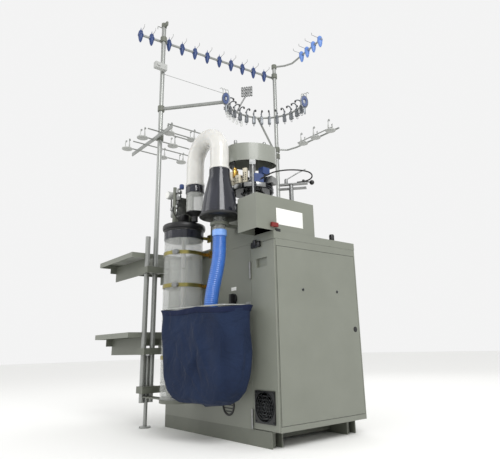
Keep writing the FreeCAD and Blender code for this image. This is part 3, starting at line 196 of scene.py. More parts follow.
# Smooth sprayed enamel on a spun steel drum: paler, with a soft sheen.
DRUM_ENAMEL = Finish("sprayed_enamel_pale_green", "#8e9189", "#80837b", 0.34, coat=0.2, grain_mm=4.0)
# Stainless tube, drawn and polished: bright streaks along its length, soft dark reflections.
TUBE_STEEL = Finish("polished_stainless_tube", "#a3a5a2", "#8c8e8b", 0.36, metal=0.6, patch_mm=60.0, grain_mm=8.0,
                    stretch=(1.0, 1.0, 0.08), relief_mm=0.004)
# Ground and turned steel: mid grey, finely scratched, slightly oily.
GROUND_STEEL = Finish("ground_steel", "#a5a6a4", "#6d6f70", 0.34, metal=1.0, patch_mm=12.0, grain_mm=0.6,
                      relief_mm=0.01, rough_swing=0.12)
# Cast aluminium, satin: pale and even, softly bright.
SATIN_ALUMINIUM = Finish("satin_cast_aluminium", "#8b8e91", "#565a5e", 0.4, metal=0.7, patch_mm=14.0, grain_mm=1.0,
                         relief_mm=0.02)
# Blackened and polished cam steel: near black with sharp highlights.
DARK_STEEL = Finish("blued_cam_steel", "#56585a", "#232527", 0.22, metal=1.0, patch_mm=14.0, grain_mm=1.0,
                    relief_mm=0.01)
# Grey motor paint, brushed on cast iron.
MOTOR_PAINT = Finish("cast_iron_paint", "#6d7276", "#565b5f", 0.5, patch_mm=40.0, grain_mm=3.0, relief_mm=0.12)
# Glass-filled black nylon, moulded: dull, slightly pebbled.
BLACK_NYLON = Finish("moulded_black_nylon", "#161718", "#0b0c0d", 0.4, patch_mm=50.0, grain_mm=1.2, relief_mm=0.03)
# Black rubber belt: matt with dust.
RUBBER = Finish("black_rubber", "#2a2a29", "#191919", 0.8, patch_mm=20.0, grain_mm=1.5, relief_mm=0.05)
# Cream ABS, moulded: warm off-white blocks with an even satin.
CREAM_ABS = Finish("moulded_cream_abs", "#d8d2bf", "#bcb49d", 0.45, patch_mm=20.0, grain_mm=1.0)
# Grey ABS, moulded: cool light housing.
GREY_ABS = Finish("moulded_grey_abs", "#b9bab7", "#9d9f9c", 0.45, patch_mm=25.0, grain_mm=1.0)
# Zinc plate, yellow passivated: gold with olive and rose patches.
YELLOW_ZINC = Finish("yellow_passivated_zinc", "#a8965a", "#646c40", 0.3, metal=0.9, patch_mm=35.0, grain_mm=1.5)
# Blue nylon, moulded: the dark sensor cases of the creel.
BLUE_NYLON = Finish("moulded_blue_nylon", "#2c477f", "#1a2f5c", 0.4, patch_mm=20.0, grain_mm=1.0)
# Lighter blue nylon, moulded: fresher cases, pale and slightly glossy.
LIGHT_BLUE_NYLON = Finish("moulded_light_blue_nylon", "#7397d6", "#4a6fb4", 0.38, patch_mm=20.0, grain_mm=1.0)
# Red button of moulded urea, glossy.
RED_MOULDING = Finish("moulded_red_urea", "#86211d", "#5c1513", 0.3, patch_mm=15.0)
# Brass, turned and lacquered: warm, bright.
BRASS = Finish("lacquered_brass", "#c9a55a", "#8d6b2c", 0.28, metal=1.0, patch_mm=12.0, grain_mm=0.8, relief_mm=0.01)
# White sheet, screen-coated: a bare plate.
WHITE_PLATE = Finish("white_enamelled_plate", "#eeeeea", "#e0e0dc", 0.32, patch_mm=60.0, grain_mm=3.0)
# Cast acrylic tube, clear: thin grey tint, and long upright reflections painted into its colour as pale and grey
# streaks.
CLEAR_ACRYLIC_PAINTED_REFLECTIONS = Finish("cast_clear_acrylic_painted_reflections", "#eceeea", "#6f736e", 0.07, patch_mm=24.0, grain_mm=30.0, relief_mm=0.3,
                       rough_swing=0.03, stretch=(1.0, 1.0, 0.04), alpha=0.3, coat=0.6)
# Smoked acrylic, blow-moulded: near black, a little see-through, with upright streaks of highlight painted into its
# colour.
SMOKED_ACRYLIC_PAINTED_HIGHLIGHTS = Finish("blown_smoked_acrylic_painted_highlights", "#3a3c46", "#08090d", 0.12, patch_mm=26.0, grain_mm=25.0, relief_mm=0.2,
                        rough_swing=0.04, stretch=(1.0, 1.0, 0.06), alpha=0.88, gleam=0.5)
# Milky PVC duct, thermoformed: warm white, light passes a little way in, glossy outside.
MILKY_PVC = Finish("thermoformed_milky_pvc", "#e9e8e4", "#cfcec9", 0.18, patch_mm=45.0, grain_mm=18.0, relief_mm=0.4,
                   coat=0.5, alpha=0.78, glow=0.2)
# Blue PVC hose over a spiral: satin, paler where it stretches over each rib.
BLUE_PVC = Finish("extruded_blue_pvc", "#3f74c4", "#2757a6", 0.3, patch_mm=25.0, grain_mm=2.0, coat=0.3)
# Pale blue cuff of soft PVC.
PALE_BLUE_PVC = Finish("moulded_pale_blue_pvc", "#8db4ee", "#5f8edb", 0.25, patch_mm=25.0, grain_mm=2.0, coat=0.4)


@dataclass(frozen=True)
class Canvas:
    """Woven polyester canvas, dyed navy: a plain weave with slubs and a faint sheen on the folds."""

    name: str = "woven_navy_canvas"
    light: str = "#243350"
    dark: str = "#0f182c"
    thread_mm: float = 1.6  # the real thread is 0.6 mm apart and is drawn coarser so that it shows

    def material(self) -> bpy.types.Material:
        """Return the material, made on first use."""
        known = bpy.data.materials.get(self.name)
        if known:
            return known
        made = bpy.data.materials.new(self.name)
        made.use_nodes = True
        tree = made.node_tree
        shader = tree.nodes["Principled BSDF"]
        shader.inputs["Roughness"].default_value = 0.85
        shader.inputs["Sheen Weight"].default_value = 0.05
        shader.inputs["Specular IOR Level"].default_value = 0.2
        place = add_node(tree, "ShaderNodeTexCoord")
        turns = 1000 / self.thread_mm / 20 * math.pi
        bands = [add_node(tree, "ShaderNodeTexWave", {"bands_direction": way, "Scale": turns, "Distortion": 1.5,
                                                      "Detail": 1.0, "Detail Scale": 2.0},
                          {"Vector": place.outputs["UV"]}) for way in ("X", "Y")]
        weave = add_node(tree, "ShaderNodeMath", {"operation": "MULTIPLY"},
                         {0: bands[0].outputs["Fac"], 1: bands[1].outputs["Fac"]})
        fade = add_node(tree, "ShaderNodeTexNoise", {"Scale": 9.0, "Detail": 5.0}, {"Vector": place.outputs["Object"]})
        share = add_node(tree, "ShaderNodeMath", {"operation": "MULTIPLY_ADD", 1: 0.5, 2: -0.05},
                         {0: weave.outputs[0]})
        total = add_node(tree, "ShaderNodeMath", {"operation": "MULTIPLY_ADD", 1: 0.75},
                         {0: fade.outputs["Fac"], 2: share.outputs[0]})
        tone = add_node(tree, "ShaderNodeMix", {"data_type": "RGBA", 6: linear(self.dark), 7: linear(self.light)},
                        {0: total.outputs[0]})
        tree.links.new(tone.outputs[2], shader.inputs["Base Color"])
        creases = add_node(tree, "ShaderNodeTexNoise", {"Scale": 9.0, "Detail": 3.0, "Distortion": 1.8},
                           {"Vector": place.outputs["Object"]})
        crumple = add_node(tree, "ShaderNodeBump", {"Distance": 14 * MM, "Strength": 0.9},
                           {"Height": creases.outputs["Fac"]})
        relief = add_node(tree, "ShaderNodeBump", {"Distance": 0.4 * MM, "Strength": 0.6},
                          {"Height": weave.outputs[0], "Normal": crumple.outputs[0]})
        tree.links.new(relief.outputs[0], shader.inputs["Normal"])
        return made


# ---------------------------------------------------------------- bench work


def bare_bench() -> None:
    """Leave edit mode and deselect everything."""
    if bpy.context.object and bpy.context.object.mode != "OBJECT":
        bpy.ops.object.mode_set(mode="OBJECT")
    bpy.ops.object.select_all(action="DESELECT")


def choose(piece: bpy.types.Object, wanted: Callable[[Vector, Vector], bool]) -> None:
    """Select a piece's faces by their place and normal, in edit mode.

    Args:
        piece: the piece being edited.
        wanted: says from a middle point and a normal whether the face is selected.
    """
    bpy.ops.mesh.select_mode(type="FACE")
    bpy.ops.mesh.select_all(action="DESELECT")
    mesh = bmesh.from_edit_mesh(piece.data)
    for face in mesh.faces:
        if wanted(face.calc_center_median(), face.normal):
            face.select_set(True)
    mesh.select_flush_mode()
    bmesh.update_edit_mesh(piece.data)


def settle(piece: bpy.types.Object, smooth: float = 35.0) -> bpy.types.Object:
    """Close doubles, face everything outwards, put the place in the mesh and shade by angle.

    Args:
        piece: the piece to finish.
        smooth: the sharpest angle that is shaded smooth, in degrees.

    Returns:
        The same piece.
    """
    bare_bench()
    piece.select_set(True)
    bpy.context.view_layer.objects.active = piece
    bpy.ops.object.transform_apply(location=True, rotation=True, scale=True)
    bpy.ops.object.mode_set(mode="EDIT")
    bpy.ops.mesh.select_all(action="SELECT")
    bpy.ops.mesh.remove_doubles(threshold=1e-5)
    bpy.ops.mesh.normals_make_consistent(inside=False)
    bpy.ops.object.mode_set(mode="OBJECT")
    bpy.ops.object.shade_smooth_by_angle(angle=math.radians(smooth))
    return piece


def from_rings(name: str, mesh: bmesh.types.BMesh, wall: float, offset: float) -> bpy.types.Object:
    """Turn a lofted surface into an object with a live wall.

    Args:
        name: the piece's name.
        mesh: the surface, which is used up.
        wall: the wall's thickness, in millimetres.
        offset: -1 to thicken inwards, 0 to thicken both ways.

    Returns:
        The piece.
    """
    data = bpy.data.meshes.new(name)
    mesh.to_mesh(data)
    mesh.free()
    piece = bpy.data.objects.new(name, data)
    bpy.context.scene.collection.objects.link(piece)
    settle(piece, LOFT_ANGLE)
    return walled(piece, wall, offset)


def walled(piece: bpy.types.Object, wall: float, offset: float) -> bpy.types.Object:
    """Give a surface a live wall.

    Args:
        piece: the surface.
        wall: its thickness, in millimetres.
        offset: -1 to thicken inwards, 0 to thicken both ways.

    Returns:
        The same piece.
    """
    solid = piece.modifiers.new("wall", "SOLIDIFY")
    solid.thickness, solid.offset = wall * MM, offset
    return piece


def finish(piece: bpy.types.Object, look: "Finish | Canvas", body: str = "machine",
           stands_for: Sequence[str] = ()) -> bpy.types.Object:
    """Give a piece its material, slot, body and the CAD nodes it stands for.

    Args:
        piece: the finished shape.
        look: its finish.
        body: the body that it moves with.
        stands_for: CAD nodes that it replaces.

    Returns:
        The same piece.
    """
    piece.data.materials.clear()
    piece.data.materials.append(look.material())
    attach(piece, body)
    if stands_for:
        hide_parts(*stands_for)
    return piece


def slab(name: str, low: Point, high: Point, edge: float = 1.0, segments: int = 2) -> bpy.types.Object:
    """Make a block between two corners with rounded edges.

    Args:
        name: the piece's name.
        low: its lowest corner, in millimetres.
        high: its highest corner, in millimetres.
        edge: the radius of its edges, in millimetres.
        segments: the rounding's steps.

    Returns:
        The piece.
    """
    bare_bench()
    middle = [(a + b) / 2 * MM for a, b in zip(low, high)]
    bpy.ops.mesh.primitive_cube_add(size=1, location=middle)
    piece = bpy.context.object
    piece.name = piece.data.name = name
    piece.scale = [abs(b - a) * MM for a, b in zip(low, high)]
    bpy.ops.object.transform_apply(location=True, rotation=True, scale=True)
    bpy.ops.object.mode_set(mode="EDIT")
    bpy.ops.mesh.select_all(action="SELECT")
    bpy.ops.mesh.bevel(offset=edge * MM, segments=segments, affect="EDGES")
    return settle(piece)


def turned(name: str, profile: Sequence[Point], centre: Point = (0, 0, 0), steps: int = 32,
           closed: bool = False, smooth: float = 35.0) -> bpy.types.Object:
    """Draw a profile point by point and spin it about an upright line.

    Args:
        name: the piece's name.
        profile: radius and height of each point, in millimetres.
        centre: where the line stands, in millimetres.
        steps: the turn's divisions.
        closed: whether the profile's end joins its start.
        smooth: the sharpest angle that is shaded smooth, in degrees.

    Returns:
        The piece.
    """
    bare_bench()
    bpy.ops.mesh.primitive_plane_add(size=MM, location=(0, 0, 0))
    piece = bpy.context.object
    piece.name = piece.data.name = name
    bpy.ops.object.mode_set(mode="EDIT")
    bpy.ops.mesh.select_all(action="SELECT")
    bpy.ops.mesh.merge(type="CENTER")
    bpy.ops.mesh.select_mode(type="VERT")
    bpy.ops.mesh.select_all(action="SELECT")
    points = [Vector((centre[0] + r, centre[1], centre[2] + z)) * MM for r, z in profile]
    bpy.ops.transform.translate(value=points[0])
    for before, after in zip(points, points[1:] + points[:1] * closed):
        bpy.ops.mesh.extrude_region_move(TRANSFORM_OT_translate={"value": after - before})
    bpy.ops.mesh.select_all(action="SELECT")
    bpy.ops.mesh.remove_doubles(threshold=1e-6)
    bpy.ops.mesh.spin(steps=steps, angle=math.tau, center=Vector(centre) * MM, axis=(0, 0, 1))
    return settle(piece, smooth)


def rod(name: str, route: Sequence[Point], radius: float, smooth: bool = True, sides: int = 3,
        tips: Sequence[float] | None = None) -> bpy.types.Object:
    """Bend a rod along a route.

    Args:
        name: the piece's name.
        route: its points, in millimetres.
        radius: its radius, in millimetres.
        smooth: whether the bends are rounded.
        sides: the roundness of its section.
        tips: a thickness for each point, as a share of the radius.

    Returns:
        The piece.
    """
    bare_bench()
    bpy.ops.curve.primitive_nurbs_path_add(location=(0, 0, 0))
    piece = bpy.context.object
    piece.name = piece.data.name = name
    line = piece.data
    line.splines.clear()
    spline = line.splines.new("NURBS" if smooth else "POLY")
    spline.points.add(len(route) - 1)
    for k, (point, at) in enumerate(zip(spline.points, route)):
        point.co = (at[0] * MM, at[1] * MM, at[2] * MM, 1)
        point.radius = tips[k] if tips else 1.0
    if smooth:
        spline.order_u = min(3, len(route))
        spline.use_endpoint_u = True
        spline.resolution_u = 6
    line.dimensions = "3D"
    line.bevel_depth = radius * MM
    line.bevel_resolution = sides
    line.use_fill_caps = True
    bpy.ops.object.convert(target="MESH")
    return settle(bpy.context.object, 60.0)


def joined(name: str, pieces: Sequence[bpy.types.Object]) -> bpy.types.Object:
    """Weld several shapes of one finish into one piece.

    Args:
        name: the piece's name.
        pieces: the shapes, which are used up.

    Returns:
        The piece.
    """
    bare_bench()
    for piece in pieces:
        piece.select_set(True)
    bpy.context.view_layer.objects.active = pieces[0]
    if len(pieces) > 1:
        bpy.ops.object.join()
    piece = bpy.context.object
    piece.name = piece.data.name = name
    return piece


def placed(piece: bpy.types.Object, at: Point = (0, 0, 0), turn: float = 0.0,
           tilt: Matrix | None = None) -> bpy.types.Object:
    """Turn a piece about the upright, tilt it first if asked, and move it, all in its mesh.

    Args:
        piece: the piece.
        at: where its own zero goes, in millimetres.
        turn: the turn about the upright, in degrees.
        tilt: a turn given before it.

    Returns:
        The same piece.
    """
    matrix = Matrix.Translation(Vector(at) * MM) @ Matrix.Rotation(math.radians(turn), 4, "Z")
    piece.data.transform(matrix @ (tilt or Matrix.Identity(4)))
    piece.data.update()
    return piece


def copied(piece: bpy.types.Object, name: str, at: Point = (0, 0, 0), turn: float = 0.0,
           tilt: Matrix | None = None) -> bpy.types.Object:
    """Copy a piece, mesh and all, and put the copy in place as placed() does.

    Args:
        piece: the piece to copy.
        name: the copy's name.
        at: where its own zero goes, in millimetres.
        turn: the turn about the upright, in degrees.
        tilt: a turn given before it.

    Returns:
        The copy.
    """
    twin = piece.copy()
    twin.data = piece.data.copy()
    twin.name = twin.data.name = name
    bpy.context.scene.collection.objects.link(twin)
    return placed(twin, at, turn, tilt)


def dropped(*pieces: bpy.types.Object) -> None:
    """Remove the first of a set of copies."""
    for piece in pieces:
        bpy.data.objects.remove(piece)


FACING_FRONT = Matrix.Rotation(math.pi / 2, 4, "X")
LYING = {Way.X: Matrix.Rotation(math.pi / 2, 4, "Y"), Way.Y: Matrix.Rotation(-math.pi / 2, 4, "X"),
         Way.Z: Matrix.Identity(4)}


# ---------------------------------------------------------------- studio


@dataclass
class Studio:
    """The floor, the soft lights and the camera."""

    eye: Point = (1.99076, -1.57207, 0.38190)
    heading: float = 49.8
    pitch: float = 15.93
    roll: float = -1.53
    lens: float = 34.44
    shift: tuple[float, float] = (-0.0306, -0.0364)
    floor_size: float = 40.0
    floor_colour: str = "#f4f4f2"

    def build(self) -> None:
        """Set up everything that isn't the machine."""
        scene = bpy.context.scene
        scene.view_settings.view_transform = "Standard"
        self.camera(scene)
        self.floor()
        self.lights(scene)

    def camera(self, scene: bpy.types.Scene) -> None:
        """Place the camera.

        Args:
            scene: the scene that it shoots.
        """
        turn, rise, roll = (math.radians(v) for v in (self.heading, self.pitch, self.roll))
        ahead = Vector((-math.sin(turn) * math.cos(rise), math.cos(turn) * math.cos(rise), math.sin(rise)))
        right = Vector((math.cos(turn), math.sin(turn), 0.0))
        up = right.cross(ahead)
        across = math.cos(roll) * right + math.sin(roll) * up
        upward = -math.sin(roll) * right + math.cos(roll) * up
        bpy.ops.object.camera_add(location=self.eye)
        camera = bpy.context.object
        basis = Matrix((across, upward, -ahead)).transposed().to_4x4()
        camera.matrix_world = Matrix.Translation(self.eye) @ basis
        camera.data.lens = self.lens
        camera.data.sensor_width = 36.0
        camera.data.sensor_fit = "HORIZONTAL"
        camera.data.shift_x, camera.data.shift_y = self.shift
        scene.camera = camera

    def floor(self) -> None:
        """Lay the pale floor."""
        bare_bench()
        bpy.ops.mesh.primitive_plane_add(size=self.floor_size, location=(0, 0, CAD_BOX[0][2]))
        floor = bpy.context.object
        floor.name = "floor"
        floor.data.materials.append(Finish("matt_floor_paint", self.floor_colour, self.floor_colour, 0.9).material())

    def lights(self, scene: bpy.types.Scene) -> None:
        """Hang the soft lights.

        Args:
            scene: the scene that they light.
        """
        world = bpy.data.worlds.new("studio_air")
        scene.world = world
        world.use_nodes = True
        world.node_tree.nodes["Background"].inputs["Color"].default_value = (1.0, 1.0, 1.0, 1.0)
        world.node_tree.nodes["Background"].inputs["Strength"].default_value = 0.9
        for name, at, size, power in (("key", (3.2, -1.2, 3.4), 1.8, 90), ("fill", (-1.8, -3.4, 2.6), 2.0, 22),
                                      ("back", (-1.5, 3.0, 3.2), 2.5, 20)):
            bpy.ops.object.light_add(type="AREA", location=at)
            lamp = bpy.context.object
            lamp.name = name
            lamp.data.size = size
            lamp.data.energy = power
            lamp.rotation_euler = (Vector((0, 0, 0.9)) - Vector(at)).to_track_quat("-Z", "Y").to_euler()


# ---------------------------------------------------------------- hose


@dataclass
class Hose:
    """The blue hose from the suction cuff down into the bag."""

    route: Sequence[Point] = ((228, -360, 884), (228, -360, 835), (226, -362, 770), (215, -370, 700),
                              (203, -380, 632), (206, -392, 566), (214, -398, 505), (210, -402, 452))
    radius: float = 31.0
    wall: float = 2.5
    rib: float = 1.6
    pitch: float = 9.0
    length: float = 437.0
    sides: int = 40

    def centreline(self) -> list[Vector]:
        """Return close points on the hose's smooth line, in metres."""
        curve = bpy.data.curves.new("hose_line", "CURVE")
        curve.dimensions = "3D"
        spline = curve.splines.new("NURBS")
        spline.points.add(len(self.route) - 1)
        for point, at in zip(spline.points, self.route):
            point.co = (at[0] * MM, at[1] * MM, at[2] * MM, 1)
        spline.order_u = 3
        spline.use_endpoint_u = True
        spline.resolution_u = 40
        line = bpy.data.objects.new("hose_line", curve)
        points = [v.co.copy() for v in bpy.data.meshes.new_from_object(line).vertices]
        bpy.data.objects.remove(line)
        return points

    def build(self) -> None:
        line = self.centreline()
        reach = [0.0]
        for a, b in zip(line, line[1:]):
            reach.append(reach[-1] + (b - a).length)
        step = self.pitch * MM / 6
        count = int(reach[-1] / step)
        rings, path = [], []
        side = Vector(Way.X.value)
        for k in range(count + 1):
            at = reach[-1] * k / count
            n = max(i for i, r in enumerate(reach[:-1]) if r <= at + 1e-12)
            share = (at - reach[n]) / (reach[n + 1] - reach[n])
            centre = line[n].lerp(line[n + 1], min(share, 1.0))
            along = (line[min(n + 2, len(line) - 1)] - line[max(n - 1, 0)]).normalized()
            side = (side - along * side.dot(along)).normalized()
            other = along.cross(side)
            out = (self.radius - self.rib / 2 + self.rib / 2 * math.sin(math.tau * k / 6)) * MM
            rings.append([centre + (side * math.cos(t) + other * math.sin(t)) * out
                          for t in (math.tau * j / self.sides for j in range(self.sides))])
            path.append(tuple(centre))
        mesh = bmesh.new()
        made = [[mesh.verts.new(p) for p in ring] for ring in rings]
        for low, high in zip(made, made[1:]):
            for j in range(self.sides):
                mesh.faces.new((low[j], low[j - 1], high[j - 1], high[j]))
        piece = from_rings("goods_hose_ribbed", mesh, self.wall, -1.0)
        finish(piece, BLUE_PVC, stands_for=["goods_hose"])


# ---------------------------------------------------------------- CAD nodes that stay


@dataclass
class Bodywork:
    """Materials for the CAD nodes whose shape is right."""

    looks: dict[str, Finish] = field(default_factory=lambda: {
        **dict.fromkeys(("cabinet_shell", "cabinet_top", "side_door", "electrics_door", "bed_box", "upper_shelf",
                         "lower_shelf"), CABINET_COAT),
        **dict.fromkeys(("base_frame", "shelf_brackets", "pole_clamps", "storage_base", "control_unit",
                         "bell_bracket", "valve_stand"), FRAME_COAT),
        "drum_cover": DRUM_ENAMEL,
        **dict.fromkeys(("creel_poles", "pole_feet", "guide_ring", "creel_rods", "bag_hoop"), TUBE_STEEL),
        **dict.fromkeys(("bed_plate", "needle_cylinder", "dial", "ring_posts", "head_bridge",
                         "feeder_bracket", "cylinder_pulley", "motor_pulley", "cover_fixings", "disc_tensioners",
                         "yarn_tensioners", "pressure_valve", "door_hinges", "drop_wires",
                         "arm_drop_wires"), GROUND_STEEL),
        "cam_ring": DARK_STEEL,
        "actuator_box": BLUE_NYLON,
        "drive_motor": MOTOR_PAINT,
        **dict.fromkeys(("fan_frame", "fan_grille", "fan_rotor", "main_switch", "storage_cap", "bell_base",
                         "cap_funnel", "ball_lever", "side_door_lock"), BLACK_NYLON),
        "drive_belt": RUBBER,
        "selector_blocks": CREAM_ABS,
        "clamp_bands": YELLOW_ZINC,
        **dict.fromkeys(("storage_cylinder", "suction_sleeve"), CLEAR_ACRYLIC_PAINTED_REFLECTIONS),
        "suction_bell": SMOKED_ACRYLIC_PAINTED_HIGHLIGHTS,
        "transfer_duct": MILKY_PVC,
        "hose_cuff": PALE_BLUE_PVC,
        "yarn_sensors": BLUE_NYLON,
        "signal_box": GREY_ABS,
        "start_button": RED_MOULDING,
        "collecting_bag": Canvas(),
    })

    def build(self) -> None:
        """Dress every CAD node that is shown."""
        for node, look in self.looks.items():
            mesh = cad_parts[node].data
            mesh.materials.clear()
            mesh.materials.append(look.material())


# ---------------------------------------------------------------- collecting bag


@dataclass
class CollectingBag:
    """The canvas bag that hangs from its hoop: one sagging shell with a flared, hemmed rim."""

    corners: Sequence[Point] = ((-28, -514), (330, -412), (369, -278), (11, -380))
    levels: Sequence[Point] = ((560, 1.03), (548, 1.0), (520, 0.975), (470, 0.975), (364, 0.965), (270, 0.92),
                               (215, 0.84), (182, 0.71), (165, 0.55), (160, 0.3), (159, 0.04))
    corner_radius: float = 34.0
    around: int = 168
    wall: float = 2.2
    hem: float = 24.0
    hem_wall: float = 1.4
    bulge: float = 16.0
    sag: float = 9.0
    girth: float = 1023.0
    rows: int = 56
    row_height: float = 8.0
    corner_steps: int = 8
    ripples: Sequence[tuple[float, float, float, float]] = (
        (5, 0.35, 0.0, 2.6), (9, -1.2, 0.2, 1.7), (13, 2.4, 0.6, 1.1), (3, 1.9, 0.0, 2.2), (21, -3.1, 0.0, 0.6))
    creases: Sequence[tuple[float, float, float, float]] = (
        (0.03, 0.10, 6.0, 0.02), (0.16, -0.08, 5.0, 0.018), (0.24, 0.07, 4.0, 0.015), (0.40, 0.02, -30.0, 0.022),
        (0.05, 0.3, 7.0, 0.012), (0.2, 0.22, 7.0, 0.012), (0.12, 0.26, -6.0, 0.014), (0.3, -0.2, 6.0, 0.012),
        (0.28, -0.12, -7.0, 0.014), (0.47, -0.03, 8.0, 0.014), (0.33, 0.05, 6.0, 0.02))

    def outline(self) -> list[Vector]:
        """Return even points round the rim, with rounded corners, in millimetres."""
        spots = [Vector(c) for c in self.corners]
        fine: list[Vector] = []
        for before, at, after in zip(spots[-1:] + spots[:-1], spots, spots[1:] + spots[:1]):
            start = at + (before - at).normalized() * self.corner_radius
            end = at + (after - at).normalized() * self.corner_radius
            for k in range(self.corner_steps + 1):
                t = k / self.corner_steps
                fine.append(start * (1 - t) ** 2 + at * 2 * t * (1 - t) + end * t * t)
        reach = [0.0]
        for a, b in zip(fine, fine[1:] + fine[:1]):
            reach.append(reach[-1] + (b - a).length)
        out, n = [], 0
        for k in range(self.around):
            want = reach[-1] * k / self.around
            while reach[n + 1] < want:
                n += 1
            share = (want - reach[n]) / (reach[n + 1] - reach[n])
            out.append(fine[n].lerp(fine[(n + 1) % len(fine)], share))
        return out

    def scale_at(self, z: float) -> float:
        """Read the section's scale off the levels.

        Args:
            z: the height, in millimetres.

        Returns:
            The scale.
        """
        for (high, a), (low, b) in zip(self.levels, self.levels[1:]):
            if z >= low:
                return b + (a - b) * (z - low) / (high - low)
        return self.levels[-1][1]

    def fold(self, u: float, v: float) -> float:
        """Return how far the cloth stands out at a place.

        Args:
            u: the share of the way round, from 0 to 1.
            v: the share of the way down, from 0 to 1.

        Returns:
            Millimetres outwards.
        """
        lively = min(1.0, v * 6) * (1 - 0.6 * v)
        ridges = sum(math.sin(math.tau * (turns * u + lean * v + start)) * height
                     for turns, lean, start, height in self.ripples)
        slack = 0.0
        for place, tilt, depth, width in self.creases:
            off = (u - place - tilt * v + 0.5) % 1.0 - 0.5
            slack += depth * math.exp(-(off / width) ** 2) * math.sin(math.pi * min(1.0, v * 1.25))
        return ridges * lively + slack

    def build(self) -> None:
        outline = self.outline()
        centre = sum(outline, Vector((0, 0))) / len(outline)
        top, foot = self.levels[0][0], self.levels[-1][0]
        steps = [(k / self.rows) ** 0.85 for k in range(self.rows + 1)]
        mesh = bmesh.new()
        cloth = mesh.loops.layers.uv.new("cloth")
        rows = []
        for step in steps:
            z = top - (top - foot) * (1 - (1 - step) ** 1.6)
            row = []
            for k, spot in enumerate(outline):
                u = k / self.around
                arm = spot - centre
                belly = self.bulge * math.exp(-((u - 0.47) / 0.07) ** 2) * math.sin(math.pi * step) * 1.4
                out = arm * self.scale_at(z) + arm.normalized() * (self.fold(u, step) + belly) * self.scale_at(z)
                droop = self.sag * math.sin(math.pi * ((u * 4) % 1)) * (1 - step) ** 3
                low = 7 * math.sin(math.tau * (u + 0.1)) * step ** 4
                row.append(mesh.verts.new(((centre.x + out.x) * MM, (centre.y + out.y) * MM,
                                           (z - droop + low) * MM)))
            rows.append(row)
        for n, (high, low) in enumerate(zip(rows, rows[1:])):
            for k in range(self.around):
                face = mesh.faces.new((high[k - 1], low[k - 1], low[k], high[k]))
                for corner, (a, b) in zip(face.loops, ((k - 1, n), (k - 1, n + 1), (k, n + 1), (k, n))):
                    corner[cloth].uv = ((a % self.around if k else a) / self.around * self.girth * MM,
                                        b * self.row_height * MM)
        tip = mesh.verts.new(sum((v.co for v in rows[-1]), Vector()) / self.around)
        for k in range(self.around):
            mesh.faces.new((rows[-1][k - 1], tip, rows[-1][k]))
        piece = from_rings("bag_cloth", mesh, self.wall, 0.0)
        finish(piece, Canvas(), stands_for=["collecting_bag"])
        hem = self.rim(outline, centre)

    def rim(self, outline: Sequence[Vector], centre: Vector) -> bpy.types.Object:
        """Sew the doubled hem round the rim.

        Args:
            outline: the rim's points.
            centre: the middle of the rim.

        Returns:
            The hem.
        """
        mesh = bmesh.new()
        rows = []
        for deep, out in ((0, 2.2), (3, 4.0), (self.hem * 0.5, 3.4), (self.hem - 2, 3.6), (self.hem, 2.0)):
            row = []
            for k, spot in enumerate(outline):
                u = k / self.around
                arm = spot - centre
                z = self.levels[0][0] + 1.5 - deep
                place = arm * self.scale_at(z) + arm.normalized() * out
                droop = self.sag * math.sin(math.pi * ((u * 4) % 1)) * (1 - deep / 400) ** 3
                row.append(mesh.verts.new(((centre.x + place.x) * MM, (centre.y + place.y) * MM, (z - droop) * MM)))
            rows.append(row)
        for high, low in zip(rows, rows[1:]):
            for k in range(self.around):
                mesh.faces.new((high[k - 1], low[k - 1], low[k], high[k]))
        piece = from_rings("bag_hem", mesh, self.hem_wall, 0.0)
        return finish(piece, Canvas(name="folded_navy_hem", light="#202c4d", dark="#101730"))


# ---------------------------------------------------------------- suction path


